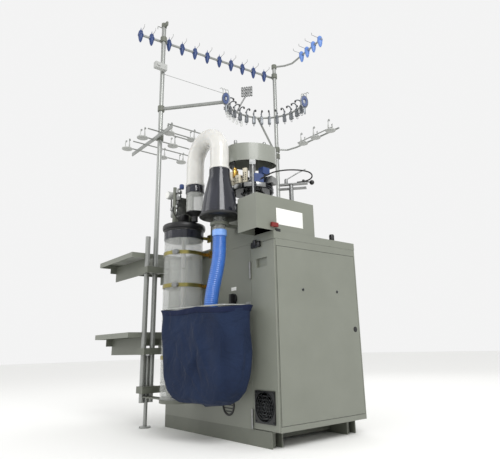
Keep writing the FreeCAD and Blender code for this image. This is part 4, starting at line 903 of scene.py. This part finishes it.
@dataclass
class SuctionPath:
    """The milky transfer duct, the smoked bell, the clear sleeve and the cuff."""

    right: tuple[float, float] = (228.0, -360.0)
    left: tuple[float, float] = (12.0, -360.0)
    radius: float = 45.0
    wall: float = 3.0
    right_foot: float = 1170.0
    clear_head: float = 1186.0
    clear_foot: float = 1040.0
    top: float = 1442.0

    def build(self) -> None:
        """Build every piece from the cuff up and over to the funnel."""
        self.duct()
        self.clear_leg()
        self.bell()
        self.sleeve()

    def duct(self) -> None:
        """Bend the milky tube, with its thickened collars."""
        bend = (self.right[0] - self.left[0]) / 2
        y, crown = self.right[1], self.top - self.radius - bend
        arc = [(self.right[0] - bend + bend * math.cos(math.pi * k / 24), y, crown + bend * math.sin(math.pi * k / 24))
               for k in range(25)]
        route = [(self.right[0], y, self.right_foot)] + arc + [(self.left[0], y, self.clear_head - 14)]
        tube = rod("duct_tube", route, self.radius, smooth=False, sides=14)
        bare_bench()
        tube.select_set(True)
        bpy.context.view_layer.objects.active = tube
        bpy.ops.object.mode_set(mode="EDIT")
        low = self.clear_head * MM
        choose(tube, lambda at, way: abs(way.z) > 0.95 and at.z < low)
        bpy.ops.mesh.delete(type="FACE")
        settle(tube, 70.0)
        walled(tube, self.wall, -1.0)
        finish(tube, MILKY_PVC, stands_for=["transfer_duct"])
        r = self.radius
        collars = [turned("duct_collar", [(r + 0.1, z), (r + 3, z + 1), (r + 3.6, z + h / 2), (r + 3, z + h - 1),
                                          (r + 0.1, z + h)], (x, y, 0), 48, smooth=50)
                   for x, z, h in ((self.right[0], self.right_foot + 29, 13), (self.left[0], self.clear_head - 10, 16))]
        finish(joined("duct_collars", collars), MILKY_PVC)

    def clear_leg(self) -> None:
        """Add the clear lower leg with a smoked band at its head."""
        r, x, y = self.radius, *self.left
        leg = turned("duct_clear_leg", [(r - 0.5, self.clear_foot), (r - 0.5, self.clear_head - 8),
                                        (r - 3, self.clear_head - 8), (r - 3, self.clear_foot)],
                     (x, y, 0), 48, closed=True)
        finish(leg, CLEAR_ACRYLIC_PAINTED_REFLECTIONS)
        band = turned("duct_smoked_band", [(r + 0.4, self.clear_head - 50), (r + 2.4, self.clear_head - 48),
                                           (r + 2.4, self.clear_head - 14), (r + 0.4, self.clear_head - 11)],
                      (x, y, 0), 48, closed=True)
        finish(band, SMOKED_ACRYLIC_PAINTED_HIGHLIGHTS)

    def bell(self) -> None:
        """Turn the flared bell with its black rim and flat disc."""
        x, y = self.right
        shell = turned("bell_shell", [(49, 1198), (49.4, 1170), (56, 1140), (67, 1090), (77, 1040), (84.5, 990),
                                      (87.5, 976), (84.5, 976), (81.5, 990), (74, 1040), (64, 1090), (53, 1140),
                                      (46.2, 1168), (46.2, 1198)], (x, y, 0), 64, closed=True, smooth=40)
        finish(shell, SMOKED_ACRYLIC_PAINTED_HIGHLIGHTS, stands_for=["suction_bell"])
        rim = turned("bell_rim", [(29.6, 963), (90, 963), (93, 965), (93.5, 969), (91, 973), (88, 979), (86, 979),
                                  (86, 972), (29.6, 971)], (x, y, 0), 64, closed=True)
        finish(rim, BLACK_NYLON, stands_for=["bell_base"])

    def sleeve(self) -> None:
        """Turn the clear sleeve and the pale cuff over the hose's end."""
        x, y = self.right
        tube = turned("sleeve_tube", [(29, 886), (29, 984), (28, 985), (26.5, 984), (26.5, 886)], (x, y, 0), 40,
                      closed=True)
        finish(tube, CLEAR_ACRYLIC_PAINTED_REFLECTIONS, stands_for=["suction_sleeve"])
        cuff = turned("cuff_ring", [(31.2, 878), (33, 876), (34.4, 880), (33.2, 884), (34.6, 888), (33.4, 892),
                                    (34.6, 896), (33.2, 900), (33.6, 904), (31, 906), (29.3, 905), (29.3, 886)],
                      (x, y, 0), 40, closed=True, smooth=50)
        finish(cuff, PALE_BLUE_PVC, stands_for=["hose_cuff"])


# ---------------------------------------------------------------- storage cylinder


@dataclass
class StorageCylinder:
    """The clear storage cylinder, its lipped cap, strap bands with toggles, and what shows through it."""

    centre: tuple[float, float] = (-97.0, -355.0)
    radius: float = 97.0
    bands: Sequence[float] = (350.0, 682.0, 841.0)
    seams: Sequence[float] = (240.0, 520.0, 760.0)

    def build(self) -> None:
        """Build the cylinder's pieces."""
        x, y = self.centre
        r = self.radius
        tube = turned("cylinder_tube", [(r, 166), (r, 961), (r - 1, 962), (r - 4, 962), (r - 4, 166)], (x, y, 0), 72,
                      closed=True)
        finish(tube, CLEAR_ACRYLIC_PAINTED_REFLECTIONS, stands_for=["storage_cylinder"])
        cap = turned("cylinder_cap", [(0, 962.5), (r + 0.3, 962.5), (r + 0.3, 956), (r + 2, 955), (r + 3.4, 957),
                                      (r + 3.4, 964), (r + 9, 966), (107, 969), (108, 974), (107, 986), (103, 991),
                                      (60, 992), (56, 989), (20, 989), (0, 989)], (x, y, 0), 72, smooth=40)
        finish(cap, BLACK_NYLON, stands_for=["storage_cap"])
        smoke = turned("cylinder_smoked_band", [(r + 0.2, 914), (r + 1.6, 915), (r + 2.4, 953), (r + 0.2, 954)],
                       (x, y, 0), 72, closed=True)
        finish(smoke, SMOKED_ACRYLIC_PAINTED_HIGHLIGHTS)
        seams = [turned("cylinder_seam", [(r + 0.1, z - 1.4), (r + 1.2, z - 0.8), (r + 1.2, z + 0.8),
                                          (r + 0.1, z + 1.4)], (x, y, 0), 72, closed=True) for z in self.seams]
        finish(joined("cylinder_seams", seams), CLEAR_ACRYLIC_PAINTED_REFLECTIONS)
        self.straps()
        inner = turned("cylinder_core", [(0, 170), (11, 170), (11, 950), (8, 954), (0, 954)], (x, y, 0), 32)
        finish(inner, MILKY_PVC)

    def straps(self) -> None:
        """Fit the toggles, lugs and brass brackets of the strap bands."""
        x, y = self.centre
        pieces, brackets = [], []
        for z in self.bands:
            turn = -52.0
            lug = slab("strap_lug", (self.radius + 2.4, -13, -11), (self.radius + 15, 13, 11), 1.5)
            pieces.append(placed(lug, (x, y, z), turn))
            bolt = turned("strap_bolt", [(0, -17), (3, -17), (3, 15), (5.5, 15), (5.5, 19), (0, 19)], steps=12)
            placed(bolt, tilt=LYING[Way.Y])
            pieces.append(placed(bolt, (x + (self.radius + 9) * math.cos(math.radians(turn)),
                                        y + (self.radius + 9) * math.sin(math.radians(turn)), z), turn))
        finish(joined("strap_toggles", pieces), GROUND_STEEL)
        for z, deep in ((682, 20), (841, 18)):
            brackets.append(slab("brass_arm", (-30, -262, z - 9), (10, -253, z + 9), 1.0))
            brackets.append(slab("brass_foot", (-20, -256, z - deep), (6, -251.2, z + deep), 1.0))
            brackets.append(slab("brass_hook", (x + 66, -290, z - 5), (x + 74, -253, z + 5), 1.0))
        finish(joined("strap_brackets", brackets), BRASS)
        clip = joined("cap_clip", [slab("clip_plate", (-26, -262, 903), (4, -253, 941), 1.5),
                                   slab("clip_tongue", (-24, -292, 915), (-12, -258, 929), 1.5)])
        finish(clip, YELLOW_ZINC)


# ---------------------------------------------------------------- creel


@dataclass
class Creel:
    """The sensors on the rails, the tensioners on the half ring, and the disc holders on the thin rods."""

    rail_start: Point = (-521.0, -463.0, 2335.0)
    rail_end: Point = (-394.3, 568.0, 2335.0)
    rail_shares: Sequence[float] = (0.005, 0.075, 0.19, 0.28, 0.37, 0.46, 0.55, 0.64, 0.73, 0.82, 0.91)
    arm_start: Point = (-250.0, 622.0, 2415.0)
    arm_end: Point = (90.0, 582.0, 2415.0)
    arm_shares: Sequence[float] = (0.34, 0.53, 0.74, 0.95)
    ring: Point = (7.0, 132.0, 1835.0)
    ring_radius: float = 242.0
    ring_units: int = 13
    ring_first: float = 220.0
    ring_step: float = 12.2
    holders: Sequence[Point] = ((-757, -403, 1650), (-757, -150, 1650), (-757, -6, 1650), (-545, -400, 1650),
                                (-545, -190, 1650), (-392, -300, 1650), (-392, -140, 1650), (-160, 604, 1740),
                                (-40, 604, 1740), (95, 604, 1740))
    thin: float = 5.0

    def build(self) -> None:
        """Build the creel's moulded and turned pieces."""
        self.sensors()
        self.tensioners()
        self.cheeks()
        self.bundle()
        self.disc_holders()
        self.pole_tops()

    def ring_spot(self, angle: float) -> tuple[float, float, float]:
        """Find a place on the ring.

        Args:
            angle: its angle, in degrees.

        Returns:
            The place, in millimetres.
        """
        turn = math.radians(angle)
        return (self.ring[0] + self.ring_radius * math.cos(turn), self.ring[1] + self.ring_radius * math.sin(turn),
                self.ring[2])

    def sensors(self) -> None:
        """Mould a tapered sensor case with its spike, once, and thread copies on both rails."""
        case = turned("sensor_case", [(0, -54), (5, -52), (10, -40), (14, -20), (15, -6), (15, 10), (13, 24), (8, 31),
                                      (0, 32)], steps=20, smooth=40)
        case.data.transform(Matrix.Diagonal((1.2, 1.0, 1.0, 1.0)))
        collar = turned("sensor_collar", [(9, -15), (13, -15), (14, -12), (14, 12), (13, 15), (9, 15)], steps=24)
        placed(collar, tilt=LYING[Way.Y])
        clip = slab("sensor_clip", (12, -6, -2), (19, 6, 20), 1.0)
        case = joined("sensor_case", [case, collar, clip])
        spike = rod("sensor_spike", [(0, 0, 26), (0, 0, 40), (2, 0, 52)], 2.4, tips=(1.6, 1.0, 0.4))
        dark, light, spikes = [], [], []
        for start, end, shares, kept in ((self.rail_start, self.rail_end, self.rail_shares, dark),
                                         (self.arm_start, self.arm_end, self.arm_shares, light)):
            first, last = Vector(start), Vector(end)
            turn = math.degrees(math.atan2(last.y - first.y, last.x - first.x)) - 90
            for share in shares:
                spot = tuple(first.lerp(last, share))
                kept.append(copied(case, "sensor", spot, turn))
                if kept is dark:
                    spikes.append(copied(spike, "spike", spot, turn))
        dropped(case, spike)
        finish(joined("rail_sensors", dark), BLUE_NYLON, stands_for=["yarn_sensors"])
        finish(joined("arm_sensors", light), LIGHT_BLUE_NYLON)
        finish(joined("sensor_spikes", spikes), BLUE_NYLON)

    def tensioners(self) -> None:
        """Model one tensioner with its hooked top, comb and eye, and set copies round the ring."""
        body = joined("unit_body", [
            slab("unit_case", (-10, -9, -46), (10, 9, -5), 2.0),
            slab("unit_clamp", (-9, -9, -8), (9, 9, 8), 2.0),
            rod("unit_hook", [(0, 0, 5), (0, 0, 26), (0, 4, 38), (0, 18, 42), (0, 36, 36), (0, 40, 28)], 4.0),
            rod("unit_eye", [(0, -6, -44), (0, -12, -56), (0, -2, -64), (0, 8, -56), (0, 4, -46)], 1.4),
            slab("unit_comb", (-5, -22, -36), (5, -8, -30), 1.0),
            slab("unit_comb_low", (-5, -22, -24), (5, -8, -18), 1.0)])
        tip = joined("unit_tip", [turned("tip_knob", [(0, 20), (5, 21), (6, 26), (5, 33), (0, 35)], (0, 40, 0), 14),
                                  turned("tip_cap", [(0, 22), (4.5, 23), (5, 30), (3, 35), (0, 36)], (0, -7, 0), 14)])
        metal, dark = [], []
        for number in range(self.ring_units):
            angle = self.ring_first - self.ring_step * number
            metal.append(copied(body, "unit", self.ring_spot(angle), angle + 90))
            dark.append(copied(tip, "tip", self.ring_spot(angle), angle + 90))
        dropped(body, tip)
        finish(joined("ring_tensioners", metal), SATIN_ALUMINIUM, stands_for=["yarn_tensioners"])
        finish(joined("ring_tips", dark), BLACK_NYLON)

    def cheeks(self) -> None:
        """Stamp the oval cheek plates at the ring's ends, with their blue shoes and hooked wires."""
        plates, shoes, wires = [], [], []
        for angle in (233.05, 60.95):
            x, y, z = self.ring_spot(angle)
            plate = turned("cheek_plate", [(0, -4), (30, -4), (34, -2), (34, 2), (30, 4), (12, 4), (9, 8), (0, 9)],
                           steps=40, smooth=40)
            plate.data.transform(Matrix.Diagonal((0.75, 1.0, 1.3, 1.0)) @ LYING[Way.Y])
            plates.append(placed(plate, (x, y, z + 4), angle))
            for face in (-1, 1):
                shoe = turned("cheek_shoe", [(13, 4), (29, 4.5), (31, 7), (30, 10), (14, 10)], steps=40, closed=True)
                shoe.data.transform(Matrix.Diagonal((0.62, face, 1.2, 1.0)) @ LYING[Way.Y])
                shoes.append(placed(shoe, (x, y, z + 4), angle))
            foot = slab("cheek_leg", (-6, -3, -80), (6, 3, -28), 1.5)
            plates.append(placed(foot, (x, y, z), angle))
            for k in range(3):
                wire = rod("cheek_wire", [(-16 + 16 * k, 0, 30), (-18 + 17 * k, 2, 52 + 8 * k),
                                          (-8 + 17 * k, 8, 66 + 6 * k), (2 + 17 * k, 10, 58 + 6 * k)], 2.0)
                wires.append(placed(wire, (x, y, z), angle))
        finish(joined("ring_cheeks", plates), SATIN_ALUMINIUM)
        finish(joined("ring_shoes", shoes), BLUE_NYLON)
        finish(joined("cheek_wires", wires), TUBE_STEEL)

    def bundle(self) -> None:
        """Build the fork of linked bars over its stalk, and the clear guides under the ring."""
        x, y, z = self.ring_spot(189.5)
        z += 6
        stalk = rod("fork_stalk", [(x, y, z), (x + 18, y + 16, z + 60), (x + 70, y + 58, z + 150)], 5.0)
        links = []
        for k in range(5):
            for step in range(6):
                link = turned("fork_link", [(5.2, -3), (7, -3.2), (7.6, 0), (7, 3.2), (5.2, 3)], steps=14, closed=True)
                if step % 2:
                    link.data.transform(LYING[Way.Y])
                links.append(placed(link, (-4 + 15 * k, -2 + 2 * (k % 2), 6 + 11.5 * step)))
            links.append(slab("fork_bar", (-6 + 15 * k, -4, 0), (-1 + 15 * k, 4, 72), 1.0))
        chain = placed(joined("fork_links", links), (x + 30, y + 26, z + 100), 40)
        finish(joined("fork_bundle", [stalk, chain]), GROUND_STEEL)
        guides = []
        for number in range(6):
            gx, gy, gz = self.ring_spot(226 - 9 * number)
            guides.append(slab("clear_guide", (gx - 8, gy - 6, gz - 84), (gx + 8, gy + 6, gz - 48), 3.0))
        finish(joined("clear_guides", guides), CLEAR_ACRYLIC_PAINTED_REFLECTIONS)

    def disc_holders(self) -> None:
        """Turn a flat disc with its stem and curled wire, and clip copies to the rods."""
        discs, wires = [], []
        disc = turned("holder_disc", [(0, -8.4), (28, -8.4), (33, -7), (34, -4), (33, -1), (20, -0.2), (6, -0.2),
                                      (0, -0.2)], steps=32, smooth=40)
        eye = rod("holder_wire", [(0, 0, 0), (0, 0, 34), (4, -4, 44), (16, -8, 48), (20, -4, 40), (12, 0, 36),
                                  (6, 0, 42)], 2.4)
        stem = turned("holder_stem", [(0, 0), (5, 0), (5, 18), (3.6, 20), (3.6, 30), (0, 31)], steps=14)
        for x, y, z in self.holders:
            stem_y = 14 if z < 1700 else -19
            discs.append(copied(disc, "disc", (x, y, z - self.thin)))
            discs.append(copied(stem, "stem", (x, y + stem_y, z + self.thin)))
            wires.append(copied(eye, "eye", (x, y + stem_y, z + self.thin + 6)))
            wires.append(copied(eye, "eye", (x, y - stem_y, z + self.thin - 2), 150))
        dropped(disc, stem, eye)
        finish(joined("holder_discs", discs), GREY_ABS, stands_for=["disc_tensioners"])
        finish(joined("holder_wires", wires), TUBE_STEEL)

    def pole_tops(self) -> None:
        """Cap both poles, with the side hook on the front one."""
        caps = [turned("pole_cap", [(0, 0), (14.6, 0), (15, 6), (12, 11), (0, 12)], (-480, -315, 2445), 28),
                turned("pole_cap", [(0, 0), (14.6, 0), (15, 6), (12, 11), (0, 12)], (-372, 548, 2420), 28)]
        finish(joined("pole_caps", caps), BLACK_NYLON)
        hook = rod("pole_hook", [(-480, -331, 2420), (-480, -352, 2424), (-480, -364, 2412), (-480, -358, 2400)], 3.0)
        finish(hook, TUBE_STEEL)


# ---------------------------------------------------------------- knitting head


@dataclass
class KnittingHead:
    """What dresses the head: cover knobs, drilled blocks, needles, comb, air hoses and feeder details."""

    axis: tuple[float, float] = (215.0, -150.0)
    needles: int = 84
    seed: int = 7

    def build(self) -> None:
        """Build the head's small pieces."""
        self.knobs()
        self.rings()
        self.needle_bed()
        self.blocks()
        self.levers()
        self.air_hoses()

    def spot(self, angle: float, radius: float) -> tuple[float, float]:
        """Find a place round the head's axis.

        Args:
            angle: its angle, in degrees.
            radius: how far out it is, in millimetres.

        Returns:
            The place, in millimetres.
        """
        turn = math.radians(angle)
        return self.axis[0] + radius * math.cos(turn), self.axis[1] + radius * math.sin(turn)

    def knobs(self) -> None:
        """Turn the two waisted knobs on the cover, with their washers."""
        knob = turned("cover_knob", [(0, 0), (11, 0), (11, 3), (5, 4), (4.5, 10), (7, 13), (9, 20), (9, 34), (7, 39),
                                     (0, 40)], steps=24, smooth=40)
        pair = [copied(knob, "knob", (x, y, 1367.2)) for x, y in ((176.4, -225.7), (244.5, -92.1))]
        dropped(knob)
        finish(joined("cover_knobs", pair), GROUND_STEEL, stands_for=["cover_fixings"])

    def rings(self) -> None:
        """Turn the stacked cam ring with its polished steps."""
        x, y = self.axis
        stack = turned("cam_stack", [(60, 1124), (103, 1124), (105, 1126), (105, 1131), (101, 1133), (101, 1136),
                                     (105, 1138), (105, 1144), (99, 1146), (99, 1149), (103, 1150), (103, 1153),
                                     (101, 1154), (60, 1154)], (x, y, 0), 96, closed=True, smooth=30)
        finish(stack, DARK_STEEL, stands_for=["cam_ring"])
        screws = [turned("ring_screw", [(0, 1153.5), (4.5, 1153.5), (4.5, 1158), (2, 1158.5), (0, 1157)],
                         (*self.spot(15 + 30 * k, 76), 0), 14) for k in range(12)]
        finish(joined("ring_screws", screws), GROUND_STEEL)

    def needle_bed(self) -> None:
        """Stand the needles in their tricks round the cylinder, on its own body."""
        needle = joined("needle", [slab("needle_stem", (47.0, -0.5, 1120), (48.8, 0.5, 1182), 0.2, 1),
                                   slab("needle_hook", (45.6, -0.5, 1181), (48.8, 0.5, 1183), 0.2, 1)])
        ring = [copied(needle, "needle", (*self.axis, 0), 360 * k / self.needles) for k in range(self.needles)]
        dropped(needle)
        finish(joined("needles", ring), GROUND_STEEL, body="needle_cylinder")

    def blocks(self) -> None:
        """Mould the selector blocks with their drilled faces, the comb and the small coloured parts."""
        cases, holes, pins = [], [], []
        for angle, radius, deep, wide, high in ((240, 98, 34, 58, 72), (203, 98, 20, 22, 48), (276, 94, 26, 28, 44),
                                                (299, 90, 22, 22, 74)):
            at = (*self.spot(angle, radius), 1154)
            case = slab("selector_case", (-deep / 2, -wide / 2, 0.2), (deep / 2, wide / 2, high), 2.0)
            cases.append(placed(case, at, angle))
            for row in range(2, int(high / 11)):
                for column in range(int(wide / 11)):
                    hole = turned("drilled_hole", [(0, 0), (3.0, 0), (3.0, 0.8), (0, 0.8)], steps=10)
                    hole.data.transform(LYING[Way.X])
                    across = (column + 0.5) * wide / int(wide / 11) - wide / 2
                    holes.append(placed(placed(hole, (deep / 2, across, row * 11 - 8)), at, angle))
            for k in range(int(wide / 9)):
                pin = slab("selector_pin", (-deep / 2 - 9, -wide / 2 + 4 + 9 * k, 8), (-deep / 2, -wide / 2 + 7 + 9 * k,
                                                                                     high - 6), 0.5)
                pins.append(placed(pin, at, angle))
        finish(joined("selector_cases", cases), CREAM_ABS, stands_for=["selector_blocks"])
        finish(joined("selector_holes", holes), BLACK_NYLON)
        finish(joined("selector_pins", pins), BRASS)
        comb = []
        for k in range(9):
            angle = 214 + 5.5 * k
            tooth = slab("comb_tooth", (-3, -3.2, 0), (16, 3.2, 34), 0.8)
            comb.append(placed(tooth, (*self.spot(angle, 100), 1268), angle))
        comb.append(placed(slab("comb_bar", (-5, -52, 24), (6, 52, 40), 2.0), (*self.spot(236, 96), 1240), 236))
        finish(joined("harness_comb", comb), BLACK_NYLON)
        brown = [placed(slab("latch_block", (-12, -14, 0), (12, 14, 34), 2.0), (*self.spot(258, 96), 1196), 258),
                 placed(slab("latch_cap", (-8, -10, 0), (8, 10, 14), 2.0), (*self.spot(258, 96), 1230), 258)]
        finish(joined("selector_latches", brown), BRASS)

    def levers(self) -> None:
        """Crowd the ring's free arc with small steel levers, cams and a tangle of thin wires."""
        source = random.Random(self.seed)
        bright, dark = [], []
        for k in range(26):
            angle = 190 + 7.4 * k
            high = source.uniform(10, 40)
            deep = source.uniform(6, 16)
            lever = slab("ring_lever", (-deep / 2, -2.6, 0), (deep / 2, 2.6, high), 0.8)
            tip = slab("ring_lever_tip", (deep / 2 - 3, -4, high - 6), (deep / 2 + source.uniform(4, 12), 4, high), 0.8)
            for piece in (lever, tip):
                (bright if source.random() < 0.6 else dark).append(
                    placed(piece, (*self.spot(angle, source.uniform(68, 80)), 1154.2), angle))
        finish(joined("ring_levers", bright), SATIN_ALUMINIUM)
        finish(joined("ring_cams", dark), DARK_STEEL)
        wires = []
        for k in range(9):
            angle = 196 + 8 * k
            x, y = self.spot(angle, 104)
            out = self.spot(angle + source.uniform(-6, 6), 122 + source.uniform(-4, 8))
            wires.append(rod("ring_wire", [(x, y, 1172), (*out, 1178), (*out, 1130), (x, y, 1110)], 1.8))
        finish(joined("ring_wires", wires), RUBBER)
        bars = [placed(slab("cam_plate", (-4, -24, 0), (4, 24, 22), 1.5), (*self.spot(a, 110), 1126), a)
                for a in (250, 282, 312, 342)]
        finish(joined("cam_plates", bars), GROUND_STEEL)

    def air_hoses(self) -> None:
        """Loop the thin black air hoses behind the head and set the lever over the feeder."""
        points = ([(290, -196, 1148), (330, -150, 1196), (378, -90, 1214), (430, -30, 1212), (470, 10, 1196),
                   (476, 14, 1168), (452, -8, 1150), (420, -40, 1148)],
                  [(120, -205, 1160), (86, -232, 1176), (78, -238, 1140), (104, -222, 1100), (120, -214, 1052)],
                  [(150, -236, 1150), (118, -262, 1150), (110, -256, 1100), (128, -246, 1048)],
                  [(92, -190, 1150), (64, -204, 1140), (70, -214, 1084), (98, -196, 1052)])
        for number, route in enumerate(points):
            hose = rod(f"air_hose_{number}", route, 3.4, sides=3)
            finish(hose, RUBBER)
            length = sum((Vector(b) - Vector(a)).length for a, b in zip(route, route[1:])) * MM
            LOG.info("air hose %d about %.3f m", number, length)
        lever = joined("feeder_levers", [
            rod("thin_lever", [(372, -66, 1168), (404, -20, 1206), (428, 16, 1226)], 3.0),
            turned("lever_boss", [(0, 1146), (8, 1146), (9, 1150), (8, 1170), (4, 1174), (0, 1174)],
                   (372, -66, 0), 18)])
        finish(lever, GROUND_STEEL)


# ---------------------------------------------------------------- cabinet fittings


@dataclass
class CabinetFittings:
    """The blank label plate, the paddle, the latch, screws, vents, rods' caps and the valves' small parts."""

    bed_face: float = 478.0
    cabinet_side: float = 480.0
    front: float = -251.0

    def build(self) -> None:
        """Build the fittings."""
        self.plates()
        self.latches()
        self.vent()
        self.fan_guard()
        self.screws()
        self.valves()

    def plates(self) -> None:
        """Rivet the blank white plate to the bed box, over a small black switch."""
        plate = slab("label_plate", (self.bed_face, -232, 900), (self.bed_face + 1.6, -72, 974), 0.6)
        finish(plate, WHITE_PLATE)
        foot = joined("paddle_foot", [slab("paddle_base", (462, -240, 866), (482, -212, 880), 2.0),
                                      slab("paddle_switch", (466, -216, 858), (480, -200, 868), 2.0)])
        finish(foot, BLACK_NYLON)

    def latches(self) -> None:
        """Fit the bed box's hinge leaf, the black latch under it and the black top stub."""
        leaf = joined("bed_hinge", [slab("leaf_plate", (150, -346.2, 900), (168, -343.2, 990), 1.0),
                                    turned("leaf_barrel", [(0, 896), (5, 896), (5, 994), (0, 994)],
                                           (159, -346, 0), 16)])
        finish(leaf, GROUND_STEEL)
        latch = joined("cover_latch", [slab("latch_body", (330, -262, 812), (392, -252, 838), 3.0),
                                       slab("latch_tongue", (352, -268, 820), (372, -260, 846), 2.0)])
        finish(latch, BLACK_NYLON)
        stub = turned("top_stub", [(0, 870), (14, 870), (14, 874), (12.5, 876), (12.5, 900), (10, 906), (0, 907)],
                      (452, 148, 0), 28)
        finish(stub, BLACK_NYLON)

    def vent(self) -> None:
        """Set the front roundel with its bars, and the small label over the switch."""
        ring = turned("vent_ring", [(36, 0), (45, 0), (45, 3), (43, 5), (38, 5), (36, 3)], steps=40, closed=True)
        ring.data.transform(FACING_FRONT)
        pieces = [placed(ring, (142, self.front, 144))]
        for k in range(5):
            half = math.sqrt(37 ** 2 - (-26 + 13 * k) ** 2)
            pieces.append(slab("vent_bar", (142 - half, self.front - 3, 144 - 28 + 13 * k),
                               (142 + half, self.front - 0.2, 144 - 24 + 13 * k), 0.6))
        finish(joined("front_vent", pieces), BLACK_NYLON)
        label = slab("switch_label", (168, self.front - 1.2, 640), (206, self.front - 0.1, 656), 0.3)
        finish(label, WHITE_PLATE)

    def fan_guard(self) -> None:
        """Weld the fan's wire guard: rings, spokes and corner screws."""
        x, z, y = 396.5, 152.0, -257.5
        wires = []
        for radius in (16, 26, 36, 46, 56):
            ring = turned("guard_ring", [(radius - 1, -1), (radius + 1, -1), (radius + 1, 1), (radius - 1, 1)],
                          steps=40, closed=True)
            ring.data.transform(FACING_FRONT)
            wires.append(placed(ring, (x, y, z)))
        for k in range(4):
            dx, dz = 58 * math.cos(math.pi * (k + 0.5) / 4), 58 * math.sin(math.pi * (k + 0.5) / 4)
            wires.append(rod("guard_spoke", [(x - dx, y + 1.6, z - dz), (x + dx, y + 1.6, z + dz)], 1.1, smooth=False))
        for dx in (-55, 55):
            for dz in (-55, 55):
                screw = turned("guard_screw", [(0, 0), (4, 0), (4, 2), (2.5, 3.2), (0, 3.2)], steps=14)
                screw.data.transform(FACING_FRONT)
                wires.append(placed(screw, (x + dx, y + 1.6, z + dz)))
        finish(joined("fan_guard", wires), DARK_STEEL)

    def screws(self) -> None:
        """Drive the side door's screws."""
        heads = []
        for y, z in ((-91, 623), (129, 624)):
            head = turned("door_screw", [(0, 0), (6, 0), (6, 2), (4, 3.6), (0, 3.6)], steps=18)
            head.data.transform(LYING[Way.X])
            heads.append(placed(head, (self.cabinet_side, y, z)))
        finish(joined("door_screws", heads), DARK_STEEL, body="side_door")

    def valves(self) -> None:
        """Dress the valve stand: gauge dial, silver valve bowls, blue coupling, cable and grille block."""
        dial = turned("gauge_case", [(0, -2), (18, -2), (21, 0), (21, 22), (17, 24), (0, 24)], steps=32, smooth=40)
        dial.data.transform(LYING[Way.Y])
        finish(placed(dial, (-159, -421, 1164)), GREY_ABS)
        face = turned("gauge_face", [(0, 0), (17, 0), (17, 1.4), (0, 1.4)], steps=32)
        face.data.transform(FACING_FRONT)
        finish(placed(face, (-159, -423.4, 1164)), WHITE_PLATE)
        bowls = [turned("valve_bowl", [(0, 0), (10, 0), (13, 4), (13, 30), (10, 34), (16, 38), (16, 50), (9, 54),
                                       (9, 62), (0, 62)], (x, -400, z), 24, smooth=40)
                 for x, z in ((-135, 1040), (-107, 1046), (-80, 1120))]
        elbow = rod("valve_elbow", [(-135, -400, 1100), (-135, -402, 1128), (-110, -404, 1140), (-80, -402, 1160)], 5)
        finish(joined("valve_bowls", bowls + [elbow]), GROUND_STEEL)
        blue = turned("blue_coupling", [(0, 0), (11, 0), (12, 3), (12, 20), (9, 24), (0, 24)], (-60, -396, 1176), 24)
        finish(blue, BLUE_NYLON)
        grille = joined("valve_grille", [slab("grille_block", (-70, -404, 1000), (-30, -368, 1034), 2.0)]
                        + [slab("grille_fin", (-68 + 7 * k, -408, 1003), (-65 + 7 * k, -403, 1031), 0.5)
                           for k in range(6)])
        finish(grille, BLACK_NYLON)
        for number, route in enumerate((
                [(-159, -398, 1150), (-190, -384, 1120), (-196, -372, 1060), (-160, -360, 1010)],
                [(-107, -404, 1095), (-90, -430, 1080), (-70, -428, 1030), (-62, -404, 1010)])):
            finish(rod(f"valve_cable_{number}", route, 3.2), RUBBER)


PARTS = (Studio, Hose, Bodywork, CollectingBag, SuctionPath, StorageCylinder, Creel, KnittingHead, CabinetFittings)


def main() -> None:
    """Build each sub-assembly in order."""
    logging.basicConfig(level=logging.INFO, format="%(message)s")
    for part in PARTS:
        part().build()
        LOG.info("built %s", part.__name__)


if __name__ == "__main__":
    main()
